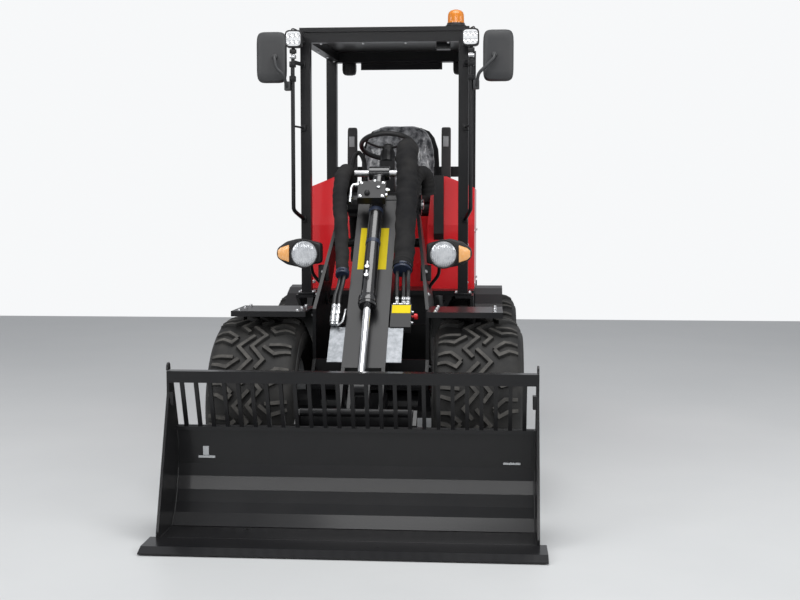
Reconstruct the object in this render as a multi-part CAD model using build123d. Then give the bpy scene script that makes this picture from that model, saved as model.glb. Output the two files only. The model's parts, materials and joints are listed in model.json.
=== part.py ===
"""Compact articulated wheel loader with a four-post frame, bucket and tilt cylinder on top of its boom.

Millimetres. X to the loader's own left, Y towards its rear, Z up from the ground.
Every piece is modelled about the centre joint at Y = 0 and moved back at the end, so that the
origin lies on the ground under the middle of the whole loader.
"""
from build123d import *
from math import atan2, cos, hypot, pi, radians, sin, tan
import os

os.makedirs("parts", exist_ok=True)

# Driving sizes
wheelbase = 1500.0
track = 970.0
tyre_radius = 393.5
tyre_width = 394.0
bead_radius = 190.5
bucket_width = 1500.0
front_reach = 1844.0
rear_reach = 1600.0

# Clearances shared by all pieces
shaft_gap = 0.3
seat_gap = 0.3
run_gap = 5.0
overrun = 20.0

# Plate thicknesses
thin_plate = 5.0
plate = 10.0
thick_plate = 15.0
heavy_plate = 25.0

# Flats on round bars, on tubes and on a turned piece
bar_sides = 16
tube_sides = 8

axle_y = wheelbase / 2
wheel_x = track / 2
axle_z = tyre_radius
middle_y = (rear_reach - front_reach) / 2

front = (0, -1, 0)
sideways = (1, 0, 0)
upright = (Align.CENTER, Align.CENTER, Align.MIN)


def block(x0, x1, y0, y1, z0, z1):
    """A box between two corners."""
    return Pos((x0 + x1) / 2, (y0 + y1) / 2, (z0 + z1) / 2) * Box(abs(x1 - x0), abs(y1 - y0), abs(z1 - z0))


def plate_yz(outline, x0, width):
    """A plate with an outline of (y, z) corners, from x0 for a width towards +X."""
    return extrude(Plane.YZ.offset(x0) * Polygon(*outline, align=None), amount=width, dir=sideways)


def plate_xz(outline, y0, depth):
    """A plate with an outline of (x, z) corners, from y0 for a depth towards -Y."""
    face = make_face(Polyline(*[(x, y0, z) for x, z in outline], close=True))
    return extrude(face, amount=depth, dir=front)


def pin(start, end, radius):
    """A true cylinder between two points, for what turns."""
    start, end = Vector(*start), Vector(*end)
    axis = Plane(origin=start, z_dir=(end - start).normalized())
    return axis * Cylinder(radius, (end - start).length, align=upright)


def cross_pin(x0, x1, y, z, radius):
    """A true cylinder across the loader."""
    return pin((x0, y, z), (x1, y, z), radius)


def rod(start, end, radius, sides=bar_sides, outside=False):
    """A round bar between two points, in few flats, its corners, or its flats if outside, at the radius."""
    start, end = Vector(*start), Vector(*end)
    run = (end - start).normalized()
    section = Plane(origin=start, z_dir=run) * RegularPolygon(radius, sides, major_radius=not outside)
    return extrude(section, amount=(end - start).length, dir=run)


def cross_rod(x0, x1, y, z, radius):
    """A round bar across the loader, in few flats."""
    return rod((x0, y, z), (x1, y, z), radius)


def hole(start, end, radius):
    """A bore to cut between two points: no flat of it is nearer than the radius."""
    return rod(start, end, radius, outside=True)


def cross_hole(x0, x1, y, z, radius):
    """A bore to cut across the loader."""
    return hole((x0, y, z), (x1, y, z), radius)


def bent_tube(points, radius, sides=tube_sides):
    """A tube along straight runs with mitred corners, in few flats."""
    run = (Vector(*points[1]) - Vector(*points[0])).normalized()
    section = Plane(origin=Vector(*points[0]), z_dir=run) * RegularPolygon(radius, sides)
    return sweep(section, path=Polyline(*points), transition=Transition.RIGHT)


def flat_face(corners):
    """A flat face from its corners."""
    return Face(Wire.make_polygon(corners, close=True))


def faceted(rings, closed=False):
    """A solid of flats between rings of as many corners each; when closed, the last meets the first."""
    pairs = list(zip(rings, rings[1:]))
    faces = [] if closed else [flat_face(rings[0]), flat_face(rings[-1])]
    if closed:
        pairs.append((rings[-1], rings[0]))
    for first, second in pairs:
        for index, corner in enumerate(first):
            other = (index + 1) % len(first)
            faces.append(flat_face([corner, first[other], second[other]]))
            faces.append(flat_face([corner, second[other], second[index]]))
    return Solid(Shell(faces))


def drum(rows, sides, turn=0.0):
    """A faceted drum about the X axis from (x, radius) rows, its flats at the radius."""
    rings = []
    for x, radius in rows:
        corner_radius = radius / cos(pi / sides)
        angles = [2 * pi * (index + turn) / sides for index in range(sides)]
        rings.append([Vector(x, corner_radius * sin(angle),
                             -corner_radius * cos(angle)) for angle in angles])
    faces = [flat_face(rings[0]), flat_face(rings[-1])]
    for first, second in zip(rings, rings[1:]):
        for index, corner in enumerate(first):
            other = (index + 1) % sides
            faces.append(flat_face([corner, first[other], second[other], second[index]]))
    return Solid(Shell(faces))


def both(piece):
    """A piece and its mirror image on the other side."""
    return [piece, mirror(piece, about=Plane.YZ)]


def join(*pieces):
    """All pieces in one: a single solid where they meet."""
    flat = []
    for piece in pieces:
        flat.extend(piece if isinstance(piece, (list, tuple)) else [piece])
    result = flat[0]
    for piece in flat[1:]:
        result = result + piece
    return result


# Articulation
ear_radius = 62.0
centre_pin_radius = 22.0
ear_upper_z = 640.0
ear_lower_z = 372.0

# Front frame
tower_width = 263.0
tower_front_y = -740.0
tower_back_y = -170.0
tower_neck_y = -290.0
tower_notch_z = 700.0
tower_bend_z = 820.0
tower_shoulder_z = 1150.0
tower_lean = 9.0
belly_z = 330.0
saddle_z = 470.0
saddle_front_y = -840.0
saddle_back_y = -600.0
boom_pivot_y = -300.0
boom_pivot_z = 1290.0
boom_pin_radius = 25.0
boss_radius = 52.0
tower_top_radius = 80.0
nose_z = 1235.0
nose_y = -365.0
lift_base_y = -240.0
lift_base_z = 400.0
lift_pin_radius = 17.0
lift_lug_radius = 38.0
lift_lug_x = 34.0

# Boom and its hitch. The tilt cylinder and the boom make a parallelogram with this upright offset.
boom_width = 187.0
boom_depth = 106.0
hitch_y = -1200.0
hitch_z = 375.0
hitch_pin_radius = 22.0
level_y = 6.0
level_z = 150.0
lift_eye_reach = 260.0
lift_eye_drop = 115.0

boom_length = hypot(boom_pivot_z - hitch_z, boom_pivot_y - hitch_y)
boom_slope = atan2(boom_pivot_z - hitch_z, boom_pivot_y - hitch_y)
tilt_base_y = boom_pivot_y + level_y
tilt_base_z = boom_pivot_z + level_z
tilt_eye_y = hitch_y + level_y
tilt_eye_z = hitch_z + level_z


def on_boom(along, above):
    """The (y, z) of a place given along the boom from its pivot and above its centre line."""
    y = boom_pivot_y - along * cos(boom_slope) - above * sin(boom_slope)
    z = boom_pivot_z - along * sin(boom_slope) + above * cos(boom_slope)
    return y, z


# Wheels
rim_lip_radius = 205.0
rim_half = 160.0
bead_half = 148.0
rim_wall = 8.0
disc_offset = 28.0
hub_radius = 62.0
flange_radius = 96.0
hub_inner = 118.0
spindle_radius = 28.0
spindle_length = 90.0
cap_radius = 48.0
cap_length = 34.0
axle_radius = 62.0
wheel_face_gap = 3.0

wheel_sides = 18
wheel_turn = 0.5
lug_height = 15.0
lug_width = 24.0
tread_radius = tyre_radius - lug_height
tread_half = 166.0
shoulder_x = 197.0
shoulder_radius = 305.0
pitch_angle = 40.0
# Two zigzags of one pitch: x at the start, half way and end of the pitch
zigzag_rows = (
    (-48.0, 6.0, -48.0),
    (48.0, -6.0, 48.0),
)
# One shoulder lug of a pitch on each side: place along the pitch and slant of its outer end
shoulder_start = 72.0
shoulder_end = 164.0
shoulder_drop = 4.0
shoulder_rows = (
    (-1, 0.0, -24.0),
    (1, 0.5, 24.0),
)


def on_tread(x, angle, radius):
    """A point on the tread from its angle about the axle, measured from straight down."""
    return Vector(x, radius * sin(radians(angle)), -radius * cos(radians(angle)))


def zigzag_lug(x0, low, x1, high):
    """A lug between two angles, which meets its neighbours at both ends."""
    half = lug_width / 2
    corners = ((x0 - half, low), (x0 + half, low), (x1 + half, high), (x1 - half, high))
    top_radius = tyre_radius / cos(radians(high - low) / 2)
    return faceted([[on_tread(x, angle, radius) for x, angle in corners]
                    for radius in (tread_radius - lug_height / 3, top_radius)])


def shoulder_lug(x0, x1, angle, slant):
    """A lug from x0 to x1, flat at one angle of the tread, its outer end further round by the slant."""
    half = lug_width / 2
    place = Plane(origin=on_tread(0, angle, tread_radius - lug_height / 3), x_dir=(1, 0, 0),
                  z_dir=on_tread(0, angle, 1))
    outline = Polyline((x0, -half), (x1, slant - half), (x1, slant + half), (x0, half), close=True)
    return extrude(place * make_face(outline), amount=lug_height * 4 / 3 - shoulder_drop)


def tyre():
    """The tyre about the X axis, centred on the origin, a lug resting flat on the ground."""
    rows = ((-bead_half, bead_radius + lug_height), (-shoulder_x, shoulder_radius), (-tread_half,
                                                                                     tread_radius),
            (tread_half, tread_radius), (shoulder_x, shoulder_radius), (bead_half,
                                                                        bead_radius + lug_height))
    bore = ((-shoulder_x, bead_radius), (shoulder_x, bead_radius))
    lugs = []
    half_pitch = pitch_angle / 2
    for pitch in range(round(360 / pitch_angle)):
        start = pitch * pitch_angle - half_pitch / 2
        for x0, x1, x2 in zigzag_rows:
            lugs.append(zigzag_lug(x0, start, x1, start + half_pitch))
            lugs.append(zigzag_lug(x1, start + half_pitch, x2, start + pitch_angle))
        for side, place, slant in shoulder_rows:
            angle = start + half_pitch / 2 + place * pitch_angle
            lugs.append(shoulder_lug(side * shoulder_start, side * shoulder_end, angle, slant))
    return drum(rows, wheel_sides, wheel_turn) + lugs - drum(bore, wheel_sides, wheel_turn)


def rim():
    """Rim, disc and hub in one, outer side towards +X, centred on the origin."""
    bead = bead_radius - seat_gap
    lip = rim_half - bead_half - seat_gap
    well = bead_radius - rim_wall
    barrel = drum(((-rim_half, bead), (rim_half, bead)), wheel_sides, wheel_turn)
    lips = [drum(((side * rim_half, rim_lip_radius), (side * (rim_half - lip), rim_lip_radius)),
                 wheel_sides, wheel_turn)
            for side in (-1, 1)]
    inside = drum(((-rim_half - overrun, well), (rim_half + overrun, well)), wheel_sides, wheel_turn)
    disc = drum(((disc_offset, well + rim_wall / 2), (disc_offset + 2 * plate, well + rim_wall / 2)),
                wheel_sides,
                wheel_turn)
    dish = drum(((disc_offset + plate, well - 2 * plate), (disc_offset + 3 * plate, well - 2 * plate)),
                wheel_sides,
                wheel_turn)
    flange = cross_rod(disc_offset - thick_plate, disc_offset + plate, 0, 0, flange_radius)
    hub = cross_rod(-hub_inner, disc_offset, 0, 0, hub_radius)
    cap = cross_rod(disc_offset, disc_offset + cap_length + plate, 0, 0, cap_radius)
    spindle = cross_pin(-hub_inner - spindle_length, -hub_inner, 0, 0, spindle_radius)
    return join(join(barrel, lips) - inside, disc - dish, flange, hub, cap, spindle)


def axle(saddle):
    """Axle housing about the origin, its bores carrying the wheel spindles."""
    end = wheel_x - hub_inner - wheel_face_gap
    tube = cross_rod(-end, end, 0, 0, axle_radius)
    case_half = 1.35 * axle_radius
    case = block(-case_half, case_half, -case_half, case_half, -1.1 * axle_radius, axle_radius)
    pads = both(block(tower_width - 3 * thick_plate, tower_width + plate, -axle_radius, axle_radius, 0,
                      saddle))
    housing = join(tube, case, pads)
    bore_start = end - spindle_length - run_gap
    for side in (-1, 1):
        housing -= cross_hole(side * bore_start, side * (end + overrun), 0, 0, spindle_radius + shaft_gap)
    return housing


nodes = {}


def keep(name, piece):
    """Moves a finished piece to the loader's own origin and lists it."""
    nodes[name] = Pos(0, -middle_y, 0) * piece


# Four wheels and two axles
tyre_shape = tyre()
rim_shape = rim()
for end_name, y in (("front", -axle_y), ("rear", axle_y)):
    for side_name, side in (("left", 1), ("right", -1)):
        turn = Rot(0, 0, 0) if side > 0 else Rot(0, 0, 180)
        keep("rim_" + end_name + "_" + side_name, Pos(side * wheel_x, y, axle_z) * turn * rim_shape)
        keep("tyre_" + end_name + "_" + side_name, Pos(side * wheel_x, y, axle_z) * tyre_shape)
keep("front_axle", Pos(0, -axle_y, axle_z) * axle(saddle_z - axle_z))


keep("rear_axle", Pos(0, axle_y, axle_z) * axle(saddle_z - axle_z))

# Front frame with its tower
lean = tan(radians(tower_lean))
inner_x = tower_width - thick_plate
tower_low = [
    (saddle_front_y, saddle_z), (saddle_front_y, saddle_z + 2 * thick_plate),
    (tower_front_y, saddle_z + 2 * ear_radius), (tower_front_y, tower_bend_z), (tower_neck_y, tower_bend_z),
    (tower_back_y, tower_notch_z), (tower_back_y, belly_z), (saddle_back_y, belly_z), (saddle_back_y,
                                                                                       saddle_z),
]
tower_crown = 30.0
tower_high = [
    (tower_front_y, tower_bend_z), (nose_y, nose_z),
    (tilt_base_y - tower_top_radius / 2, tilt_base_z), (tilt_base_y - tower_top_radius / 4,
                                                        tilt_base_z + tower_crown),
    (tilt_base_y + tower_top_radius / 4, tilt_base_z + tower_crown), (tilt_base_y + tower_top_radius / 2,
                                                             tilt_base_z),
    (boom_pivot_y + tower_top_radius, boom_pivot_z), (tower_neck_y, tower_shoulder_z),
    (tower_neck_y, tower_bend_z),
]
lower_side = plate_yz(tower_low, inner_x, thick_plate)
hinge_line = Pos(tower_width, 0, tower_bend_z) * Rot(0, -tower_lean, 0) * Pos(-tower_width, 0,
                                                                              -tower_bend_z)
upper_side = hinge_line * plate_yz(tower_high, inner_x, thick_plate)
pivot_face_x = tower_width - lean * (boom_pivot_z - tower_bend_z)
tilt_face_x = tower_width - lean * (tilt_base_z - tower_bend_z)
back_wall = block(-inner_x, inner_x, tower_back_y - thick_plate, tower_back_y, belly_z, tower_notch_z)
belly = block(-inner_x, inner_x, saddle_back_y, tower_back_y, belly_z, belly_z + thick_plate)
step_wall = block(-inner_x, inner_x, saddle_back_y, saddle_back_y + thick_plate, belly_z,
                  saddle_z + thick_plate)
saddle = block(-inner_x, inner_x, saddle_front_y, saddle_back_y + thick_plate, saddle_z,
               saddle_z + thick_plate)
front_wall = block(-inner_x, inner_x, tower_front_y, tower_front_y + thick_plate, saddle_z,
                   saddle_z + 2 * ear_radius)
pivot_boss = cross_rod(pivot_face_x - 2 * thick_plate, pivot_face_x + thick_plate, boom_pivot_y,
                       boom_pivot_z,
                       boss_radius)
tie_radius = 22.0
tie_z = tower_shoulder_z - 2 * tie_radius
tie_reach = tower_width - lean * (tie_z - tower_bend_z) - thick_plate / 2
tower_tie = cross_rod(-tie_reach, tie_reach, tower_neck_y - tie_radius, tie_z, tie_radius)
for side_plate in both(upper_side):
    tower_tie -= side_plate


def ear(z, height, reach_y, bore_radius):
    """A hinge ear from a wall to the centre joint, with its bore."""
    tongue = block(-ear_radius, ear_radius, 0, reach_y, z, z + height)
    nose = rod((0, 0, z), (0, 0, z + height), ear_radius)
    bore = hole((0, 0, z - overrun), (0, 0, z + height + overrun), bore_radius)
    return join(tongue, nose) - bore


def lug_pair(inner, width, y, z, radius, foot_z):
    """Two lugs with round ends about a cross pin, standing on or hanging from foot_z."""
    pieces = []
    for start in (inner, -inner - width):
        pieces.append(block(start, start + width, y - radius, y + radius, min(z, foot_z), max(z, foot_z)))
        pieces.append(cross_rod(start, start + width, y, z, radius))
    return pieces


loose_bore = centre_pin_radius + shaft_gap
front_reach_y = tower_back_y - thick_plate / 2
cheek_width = 12.0
lift_lugs = lug_pair(lift_lug_x, cheek_width, lift_base_y, lift_base_z, lift_lug_radius,
                     belly_z + thick_plate / 2)
steer_arm_z = 520.0
steer_arm_height = 20.0
steer_eye_x = 188.0
steer_eye_y = -68.0
steer_pin_radius = 13.0
steer_lug_radius = 30.0
steer_fork = 46.0
steer_arms = []
for z in (steer_arm_z - steer_fork / 2 - steer_arm_height, steer_arm_z + steer_fork / 2):
    steer_arms.append(block(steer_eye_x - steer_lug_radius, steer_eye_x + steer_lug_radius, front_reach_y,
                            steer_eye_y, z, z + steer_arm_height))
    steer_arms.append(rod((steer_eye_x, steer_eye_y, z), (steer_eye_x, steer_eye_y, z + steer_arm_height),
                          steer_lug_radius))
tower_sides = join(both(join(lower_side, upper_side, pivot_boss)))
front_frame = join(back_wall, belly, step_wall, saddle, front_wall, tower_tie, lift_lugs, steer_arms,
                   ear(ear_upper_z + heavy_plate + run_gap, heavy_plate, front_reach_y, loose_bore),
                   ear(ear_lower_z - heavy_plate - run_gap, heavy_plate, front_reach_y, loose_bore))
tilt_pin_radius = 16.0
lashing_y = -225.0
lashing_z = 560.0
lashing_radius = 18.0
front_frame -= cross_hole(-tower_width / 2, tower_width / 2, lift_base_y, lift_base_z, lift_pin_radius)
tower_sides -= cross_hole(-tower_width, tower_width, boom_pivot_y, boom_pivot_z, boom_pin_radius)
tower_sides -= cross_hole(-tower_width, tower_width, tilt_base_y, tilt_base_z, tilt_pin_radius)
tower_sides -= cross_pin(-tower_width - overrun, tower_width + overrun, lashing_y, lashing_z,
                         lashing_radius)
keep("front_frame", front_frame)
keep("tower_sides", tower_sides)
keep("tower_pins", join(
    cross_pin(-pivot_face_x - heavy_plate, pivot_face_x + heavy_plate, boom_pivot_y, boom_pivot_z,
              boom_pin_radius),
    cross_pin(-lift_lug_x - heavy_plate, lift_lug_x + heavy_plate, lift_base_y, lift_base_z,
              lift_pin_radius),
    cross_pin(-tilt_face_x - plate, tilt_face_x + plate, tilt_base_y, tilt_base_z, tilt_pin_radius)))

# Front fenders: a flat plate with a sloping tail behind it
fender_top_z = 826.0
fender_front_y = -948.0
fender_flat = 306.0
fender_outer_x = 590.0
fender_tail_y = -410.0
fender_tail_z = 665.0
fender_lip = 24.0
fender_back_y = fender_front_y + fender_flat
fender_outline = [
    (fender_front_y, fender_top_z), (fender_front_y, fender_top_z - fender_lip),
    (fender_front_y + thin_plate, fender_top_z - fender_lip), (fender_front_y + thin_plate,
                                                               fender_top_z - thin_plate),
    (fender_back_y, fender_top_z - thin_plate), (fender_tail_y, fender_tail_z - thin_plate),
    (fender_tail_y, fender_tail_z), (fender_back_y, fender_top_z),
]
fender = plate_yz(fender_outline, tower_width, fender_outer_x - tower_width)
keep("front_fenders", join(both(fender)))

# Road lamps on the tower: a pointed housing, a round lens and an indicator at the outer end
lamp_x = 345.0
lamp_y = -600.0
lamp_z = 1063.0
lamp_width = 205.0
lamp_height = 146.0
lamp_depth = 90.0
lens_radius = 62.0
lens_depth = 12.0
lens_shift = 24.0
indicator_width = 52.0
indicator_height_share = 0.42
lamp_arm = 26.0


def lamp_shape(width, height):
    """The eye-shaped outline of a road lamp, its outer end narrower, as (x, z) shares."""
    shares = ((-0.5, -0.30), (-0.34, -0.5), (0.12, -0.5), (0.5, -0.16), (0.5, 0.16), (0.12, 0.5), (-0.34,
                                                                                                   0.5),
              (-0.5, 0.30))
    return [(lamp_x + sx * width, lamp_z + sz * height) for sx, sz in shares]


housing = plate_xz(lamp_shape(lamp_width, lamp_height), lamp_y + lamp_depth, lamp_depth)
lens_x = lamp_x - lens_shift
lens_seat = rod((lens_x, lamp_y - lens_depth / 2, lamp_z), (lens_x, lamp_y + lens_depth / 2, lamp_z),
                lens_radius)
indicator_x = lamp_x + lamp_width / 2 - indicator_width
indicator_half = lamp_height * indicator_height_share / 2
indicator = block(indicator_x, lamp_x + lamp_width / 2 - plate, lamp_y - lens_depth / 2,
                  lamp_y + lens_depth / 2,
                  lamp_z - indicator_half, lamp_z + indicator_half)
lamp_foot_x = tower_width - lean * (lamp_z - lamp_arm - tower_bend_z)
foot = block(lamp_foot_x + seat_gap, lamp_foot_x + seat_gap + plate, lamp_y + lamp_depth - thick_plate,
             lamp_y + 2 * lamp_depth, lamp_z - lamp_arm, lamp_z + lamp_arm)
lamp_arm_piece = block(lamp_foot_x + seat_gap, lamp_x, lamp_y + lamp_depth - thick_plate,
                       lamp_y + lamp_depth,
                       lamp_z - lamp_arm, lamp_z + lamp_arm)
lamp_body = join(housing, lamp_arm_piece, foot) - lens_seat - indicator
keep("lamp_housings", join(both(lamp_body)))
keep("lamp_lenses", join(both(lens_seat)))
keep("indicators", join(both(indicator)))

# Boom: box section, fork at its tip, hub at its pivot and lift lugs under it
fork_length = 260.0
fork_wall = 15.0
tip_boss = 45.0
boom_hub_radius = 60.0
boom_hub_half = 148.0
half_depth = boom_depth / 2


def boom_outline(places):
    """An outline in (y, z) from places given along and above the boom."""
    return [on_boom(along, above) for along, above in places]


body_end = boom_length - fork_length
body = plate_yz(boom_outline([(0, -half_depth), (0, half_depth), (body_end, half_depth), (body_end,
                                                                                          -half_depth)]),
                -boom_width / 2, boom_width)
tip = plate_yz(boom_outline([(body_end - overrun, -half_depth), (body_end - overrun, half_depth),
                             (boom_length, tip_boss), (boom_length, -tip_boss)]),
               boom_width / 2 - fork_wall, fork_wall)
tip_ring = cross_rod(boom_width / 2 - fork_wall - plate, boom_width / 2, hitch_y, hitch_z, tip_boss)
hub = cross_rod(-boom_hub_half, boom_hub_half, boom_pivot_y, boom_pivot_z, boom_hub_radius)
eye_y, eye_z = on_boom(lift_eye_reach, -lift_eye_drop)
eye_lug_radius = 34.0
boom_lugs = []
for start in (lift_lug_x, -lift_lug_x - cheek_width):
    boom_lugs.append(plate_yz(boom_outline([
        (lift_eye_reach - eye_lug_radius, -half_depth + plate), (lift_eye_reach - eye_lug_radius,
                                                                 -lift_eye_drop),
        (lift_eye_reach + eye_lug_radius, -lift_eye_drop), (lift_eye_reach + eye_lug_radius,
                                                            -half_depth + plate),
    ]), start, cheek_width))
    boom_lugs.append(cross_rod(start, start + cheek_width, eye_y, eye_z, eye_lug_radius))
# Channel under the boom for the lift cylinder's eye, which swings into it half way up
channel_start = 110.0
channel_end = 340.0
channel_top = -18.0
channel = plate_yz(boom_outline([(channel_start, -boom_depth), (channel_start, channel_top), (channel_end,
                                                                                              channel_top),
                                 (channel_end, -boom_depth)]), -lift_lug_x, 2 * lift_lug_x)
boom = join(body, both(tip), both(tip_ring), hub, boom_lugs) - channel
boom -= cross_hole(-boom_width, boom_width, boom_pivot_y, boom_pivot_z, boom_pin_radius + shaft_gap)
boom -= cross_hole(-boom_width, boom_width, hitch_y, hitch_z, hitch_pin_radius + shaft_gap)
boom -= cross_hole(-boom_width, boom_width, eye_y, eye_z, lift_pin_radius)
keep("boom", boom)


def cylinder_barrel(start, end, eye_radius, eye_half, pin_radius, barrel_radius, barrel_end, gland_radius,
                    bore):
    """Barrel of a cylinder with its base eye at start, pointing at end, bored for its rod."""
    start, end = Vector(*start), Vector(*end)
    run = (end - start).normalized()
    across = Vector(1, 0, 0) if abs(run.X) < abs(run.Z) else Vector(0, 0, 1)
    eye = rod(start - across * eye_half, start + across * eye_half, eye_radius)
    tube = rod(start + run * (eye_radius / 2), start + run * barrel_end, barrel_radius)
    gland = rod(start + run * (barrel_end - gland_radius), start + run * (barrel_end + plate), gland_radius)
    piece = join(eye, tube, gland)
    piece -= hole(start - across * (eye_half + overrun), start + across * (eye_half + overrun),
                  pin_radius + shaft_gap)
    piece -= hole(start + run * (eye_radius + plate), start + run * (barrel_end + overrun),
                  bore + shaft_gap)
    return piece


def cylinder_rod(start, end, eye_radius, eye_half, pin_radius, rod_radius, inside):
    """Rod of a cylinder with its eye at end, reaching back towards start as far as inside."""
    start, end = Vector(*start), Vector(*end)
    run = (end - start).normalized()
    across = Vector(1, 0, 0) if abs(run.X) < abs(run.Z) else Vector(0, 0, 1)
    eye = rod(end - across * eye_half, end + across * eye_half, eye_radius)
    bar = rod(start + run * inside, end - run * (eye_radius / 2), rod_radius)
    return join(eye, bar) - hole(end - across * (eye_half + overrun), end + across * (eye_half + overrun),
                                 pin_radius)


# Lift cylinder under the boom and tilt cylinder on top of it
lift_start = (0, lift_base_y, lift_base_z)
lift_end = (0, eye_y, eye_z)
lift_barrel_radius = 32.0
lift_gland_radius = 38.0
lift_rod_radius = 18.0
lift_barrel_end = 530.0
lift_rod_inside = 90.0
keep("lift_barrel", cylinder_barrel(lift_start, lift_end, lift_barrel_radius, lift_lug_x - run_gap,
                                    lift_pin_radius,
                                    lift_barrel_radius, lift_barrel_end, lift_gland_radius, lift_rod_radius))
keep("lift_rod", cylinder_rod(lift_start, lift_end, eye_lug_radius - run_gap, lift_lug_x - run_gap,
                              lift_pin_radius,
                              lift_rod_radius, lift_rod_inside))
tilt_start = (0, tilt_base_y, tilt_base_z)
tilt_end = (0, tilt_eye_y, tilt_eye_z)
tilt_barrel_radius = 33.0
tilt_gland_radius = 43.0
tilt_rod_radius = 17.5
tilt_barrel_end = 830.0
tilt_rod_inside = 480.0
tilt_eye_radius = 30.0
tilt_eye_half = 25.0
keep("tilt_barrel", cylinder_barrel(tilt_start, tilt_end, tilt_barrel_radius, 2 * tilt_eye_half,
                                    tilt_pin_radius,
                                    tilt_barrel_radius, tilt_barrel_end, tilt_gland_radius - shaft_gap, tilt_rod_radius))
keep("tilt_rod", cylinder_rod(tilt_start, tilt_end, tilt_eye_radius, tilt_eye_half, tilt_pin_radius,
                              tilt_rod_radius, tilt_rod_inside))

# Block, hose sleeves, brackets and couplers on the boom
valve_start = 20.0
valve_length = 110.0
valve_right = 85.0
valve_left = 45.0
valve_height = 42.0
sleeve_radius = 36.0
sleeve_start = 250.0
sleeve_end = 640.0
sleeve_x = boom_width / 2 + sleeve_radius + seat_gap
bracket_start = 800.0
bracket_end = 990.0
bracket_width = 66.0
coupler_gap = 130.0
coupler_start = bracket_start - coupler_gap - seat_gap
coupler_length = 130.0
coupler_x0 = 100.0
coupler_x1 = 190.0


def on_boom_piece(along, length, above, height, x0, x1):
    """A square piece standing on the boom, from places along and above it."""
    corners = [(along, above), (along + length, above), (along + length, above + height), (along,
                                                                                           above + height)]
    return plate_yz(boom_outline(corners), x0, x1 - x0)


def sleeve(side):
    """A hose sleeve along one side of the boom."""
    start_y, start_z = on_boom(sleeve_start, half_depth)
    end_y, end_z = on_boom(sleeve_end, half_depth)
    x = side * sleeve_x
    return rod((x, start_y, start_z), (x, end_y, end_z), sleeve_radius)


keep("hose_sleeves", join(sleeve(1), sleeve(-1)))
# Hose loops in their sleeves in front of the tower and over to its outside, from x, y and z
loop_points = (
    (152.0, -464.0, 1243.0),
    (168.0, -428.0, 1340.0),
    (178.0, -398.0, 1412.0),
    (212.0, -374.0, 1446.0),
    (236.0, -346.0, 1415.0),
    (239.6, -328.0, 1335.0),
)
loop = bent_tube(loop_points, sleeve_radius, bar_sides)
keep("hose_loops", join(both(loop)))
# Valve block on the tilt cylinder's barrel
valve_low = hypot(level_y, level_z) * cos(boom_slope + atan2(level_y, level_z)) + tilt_barrel_radius
valve_block = on_boom_piece(valve_start, valve_length, valve_low, valve_height, -valve_right, valve_left)
keep("valve_block", valve_block)
bracket = on_boom_piece(bracket_start, bracket_end - bracket_start, half_depth - plate, plate / 2,
                        boom_width / 2 + seat_gap, boom_width / 2 + bracket_width)
keep("coupler_brackets", join(both(bracket)))
keep("coupler_block", on_boom_piece(coupler_start, coupler_length, half_depth - valve_height, valve_height,
                                    coupler_x0, coupler_x1))

# Hitch: outer plates and lever plates on the hitch pin, front plate with lock tube
hitch_outer_x = boom_width / 2 + run_gap
hitch_plate = 15.0
lever_x = tilt_eye_half + run_gap
lever_width = 14.0
lever_tip_radius = 30.0
hitch_hub_radius = 40.0
hitch_face_y = -1305.0
hitch_face_half = 230.0
hitch_low_z = 190.0
hitch_high_z = 440.0
lock_radius = 17.0
lever_outline = [
    (hitch_face_y, hitch_high_z), (hitch_face_y, hitch_z - hitch_hub_radius), (hitch_y,
                                                                               hitch_z - hitch_hub_radius),
    (hitch_y + hitch_hub_radius, hitch_z), (tilt_eye_y + lever_tip_radius, tilt_eye_z),
    (tilt_eye_y, tilt_eye_z + lever_tip_radius), (tilt_eye_y - lever_tip_radius, tilt_eye_z),
]
lever = plate_yz(lever_outline, lever_x, lever_width)
outer_outline = [
    (hitch_face_y, hitch_high_z), (hitch_face_y, hitch_low_z), (hitch_face_y + hitch_hub_radius,
                                                                hitch_low_z),
    (hitch_y + hitch_hub_radius, hitch_z - hitch_hub_radius / 2), (hitch_y + hitch_hub_radius,
                                                                   hitch_z + hitch_hub_radius / 2),
    (hitch_y, hitch_z + hitch_hub_radius),
]
outer = plate_yz(outer_outline, hitch_outer_x, hitch_plate)
hitch_face = block(-hitch_face_half, hitch_face_half, hitch_face_y - thick_plate, hitch_face_y, hitch_low_z,
                   hitch_high_z)
lock = cross_rod(-hitch_face_half, hitch_face_half, hitch_face_y - thick_plate / 2,
                 hitch_high_z + lock_radius / 2, lock_radius)
hitch = join(both(lever), both(outer), hitch_face, lock)
hitch -= cross_hole(-boom_width, boom_width, hitch_y, hitch_z, hitch_pin_radius + shaft_gap)
hitch -= cross_hole(-boom_width, boom_width, tilt_eye_y, tilt_eye_z, tilt_pin_radius)
keep("quick_hitch", hitch)
hitch_pin_half = hitch_outer_x + hitch_plate + plate
keep("hitch_pin", cross_pin(-hitch_pin_half, hitch_pin_half, hitch_y, hitch_z, hitch_pin_radius))

# Bucket: bent back and floor, sides, rail, grille with its top bar, and cutting edge
bucket_half = 725.0
bucket_wall = 8.0
bucket_side = 10.0
edge_back_y = -1674.0
edge_low_z = 5.0
edge_thick = 20.0
edge_bevel = 44.0
floor_z = 20.0
grille_low_z = 404.0
grille_low_y = -1400.0
grille_top_y = -1478.0
grille_top_z = 592.0
bar_pitch = 56.0
bar_width = 15.0
bar_depth = 15.0
top_bar_height = 45.0
top_bar_depth = 50.0
# Bucket inside line from the cutting edge to the grille rail, columns y and z
inside_line = (
    (edge_back_y, floor_z),
    (-1485.0, floor_z),
    (-1423.0, 95.0),
    (-1397.0, 170.0),
    (-1372.0, 235.0),
    (grille_low_y + bucket_wall, grille_low_z - bucket_wall),
)


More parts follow.
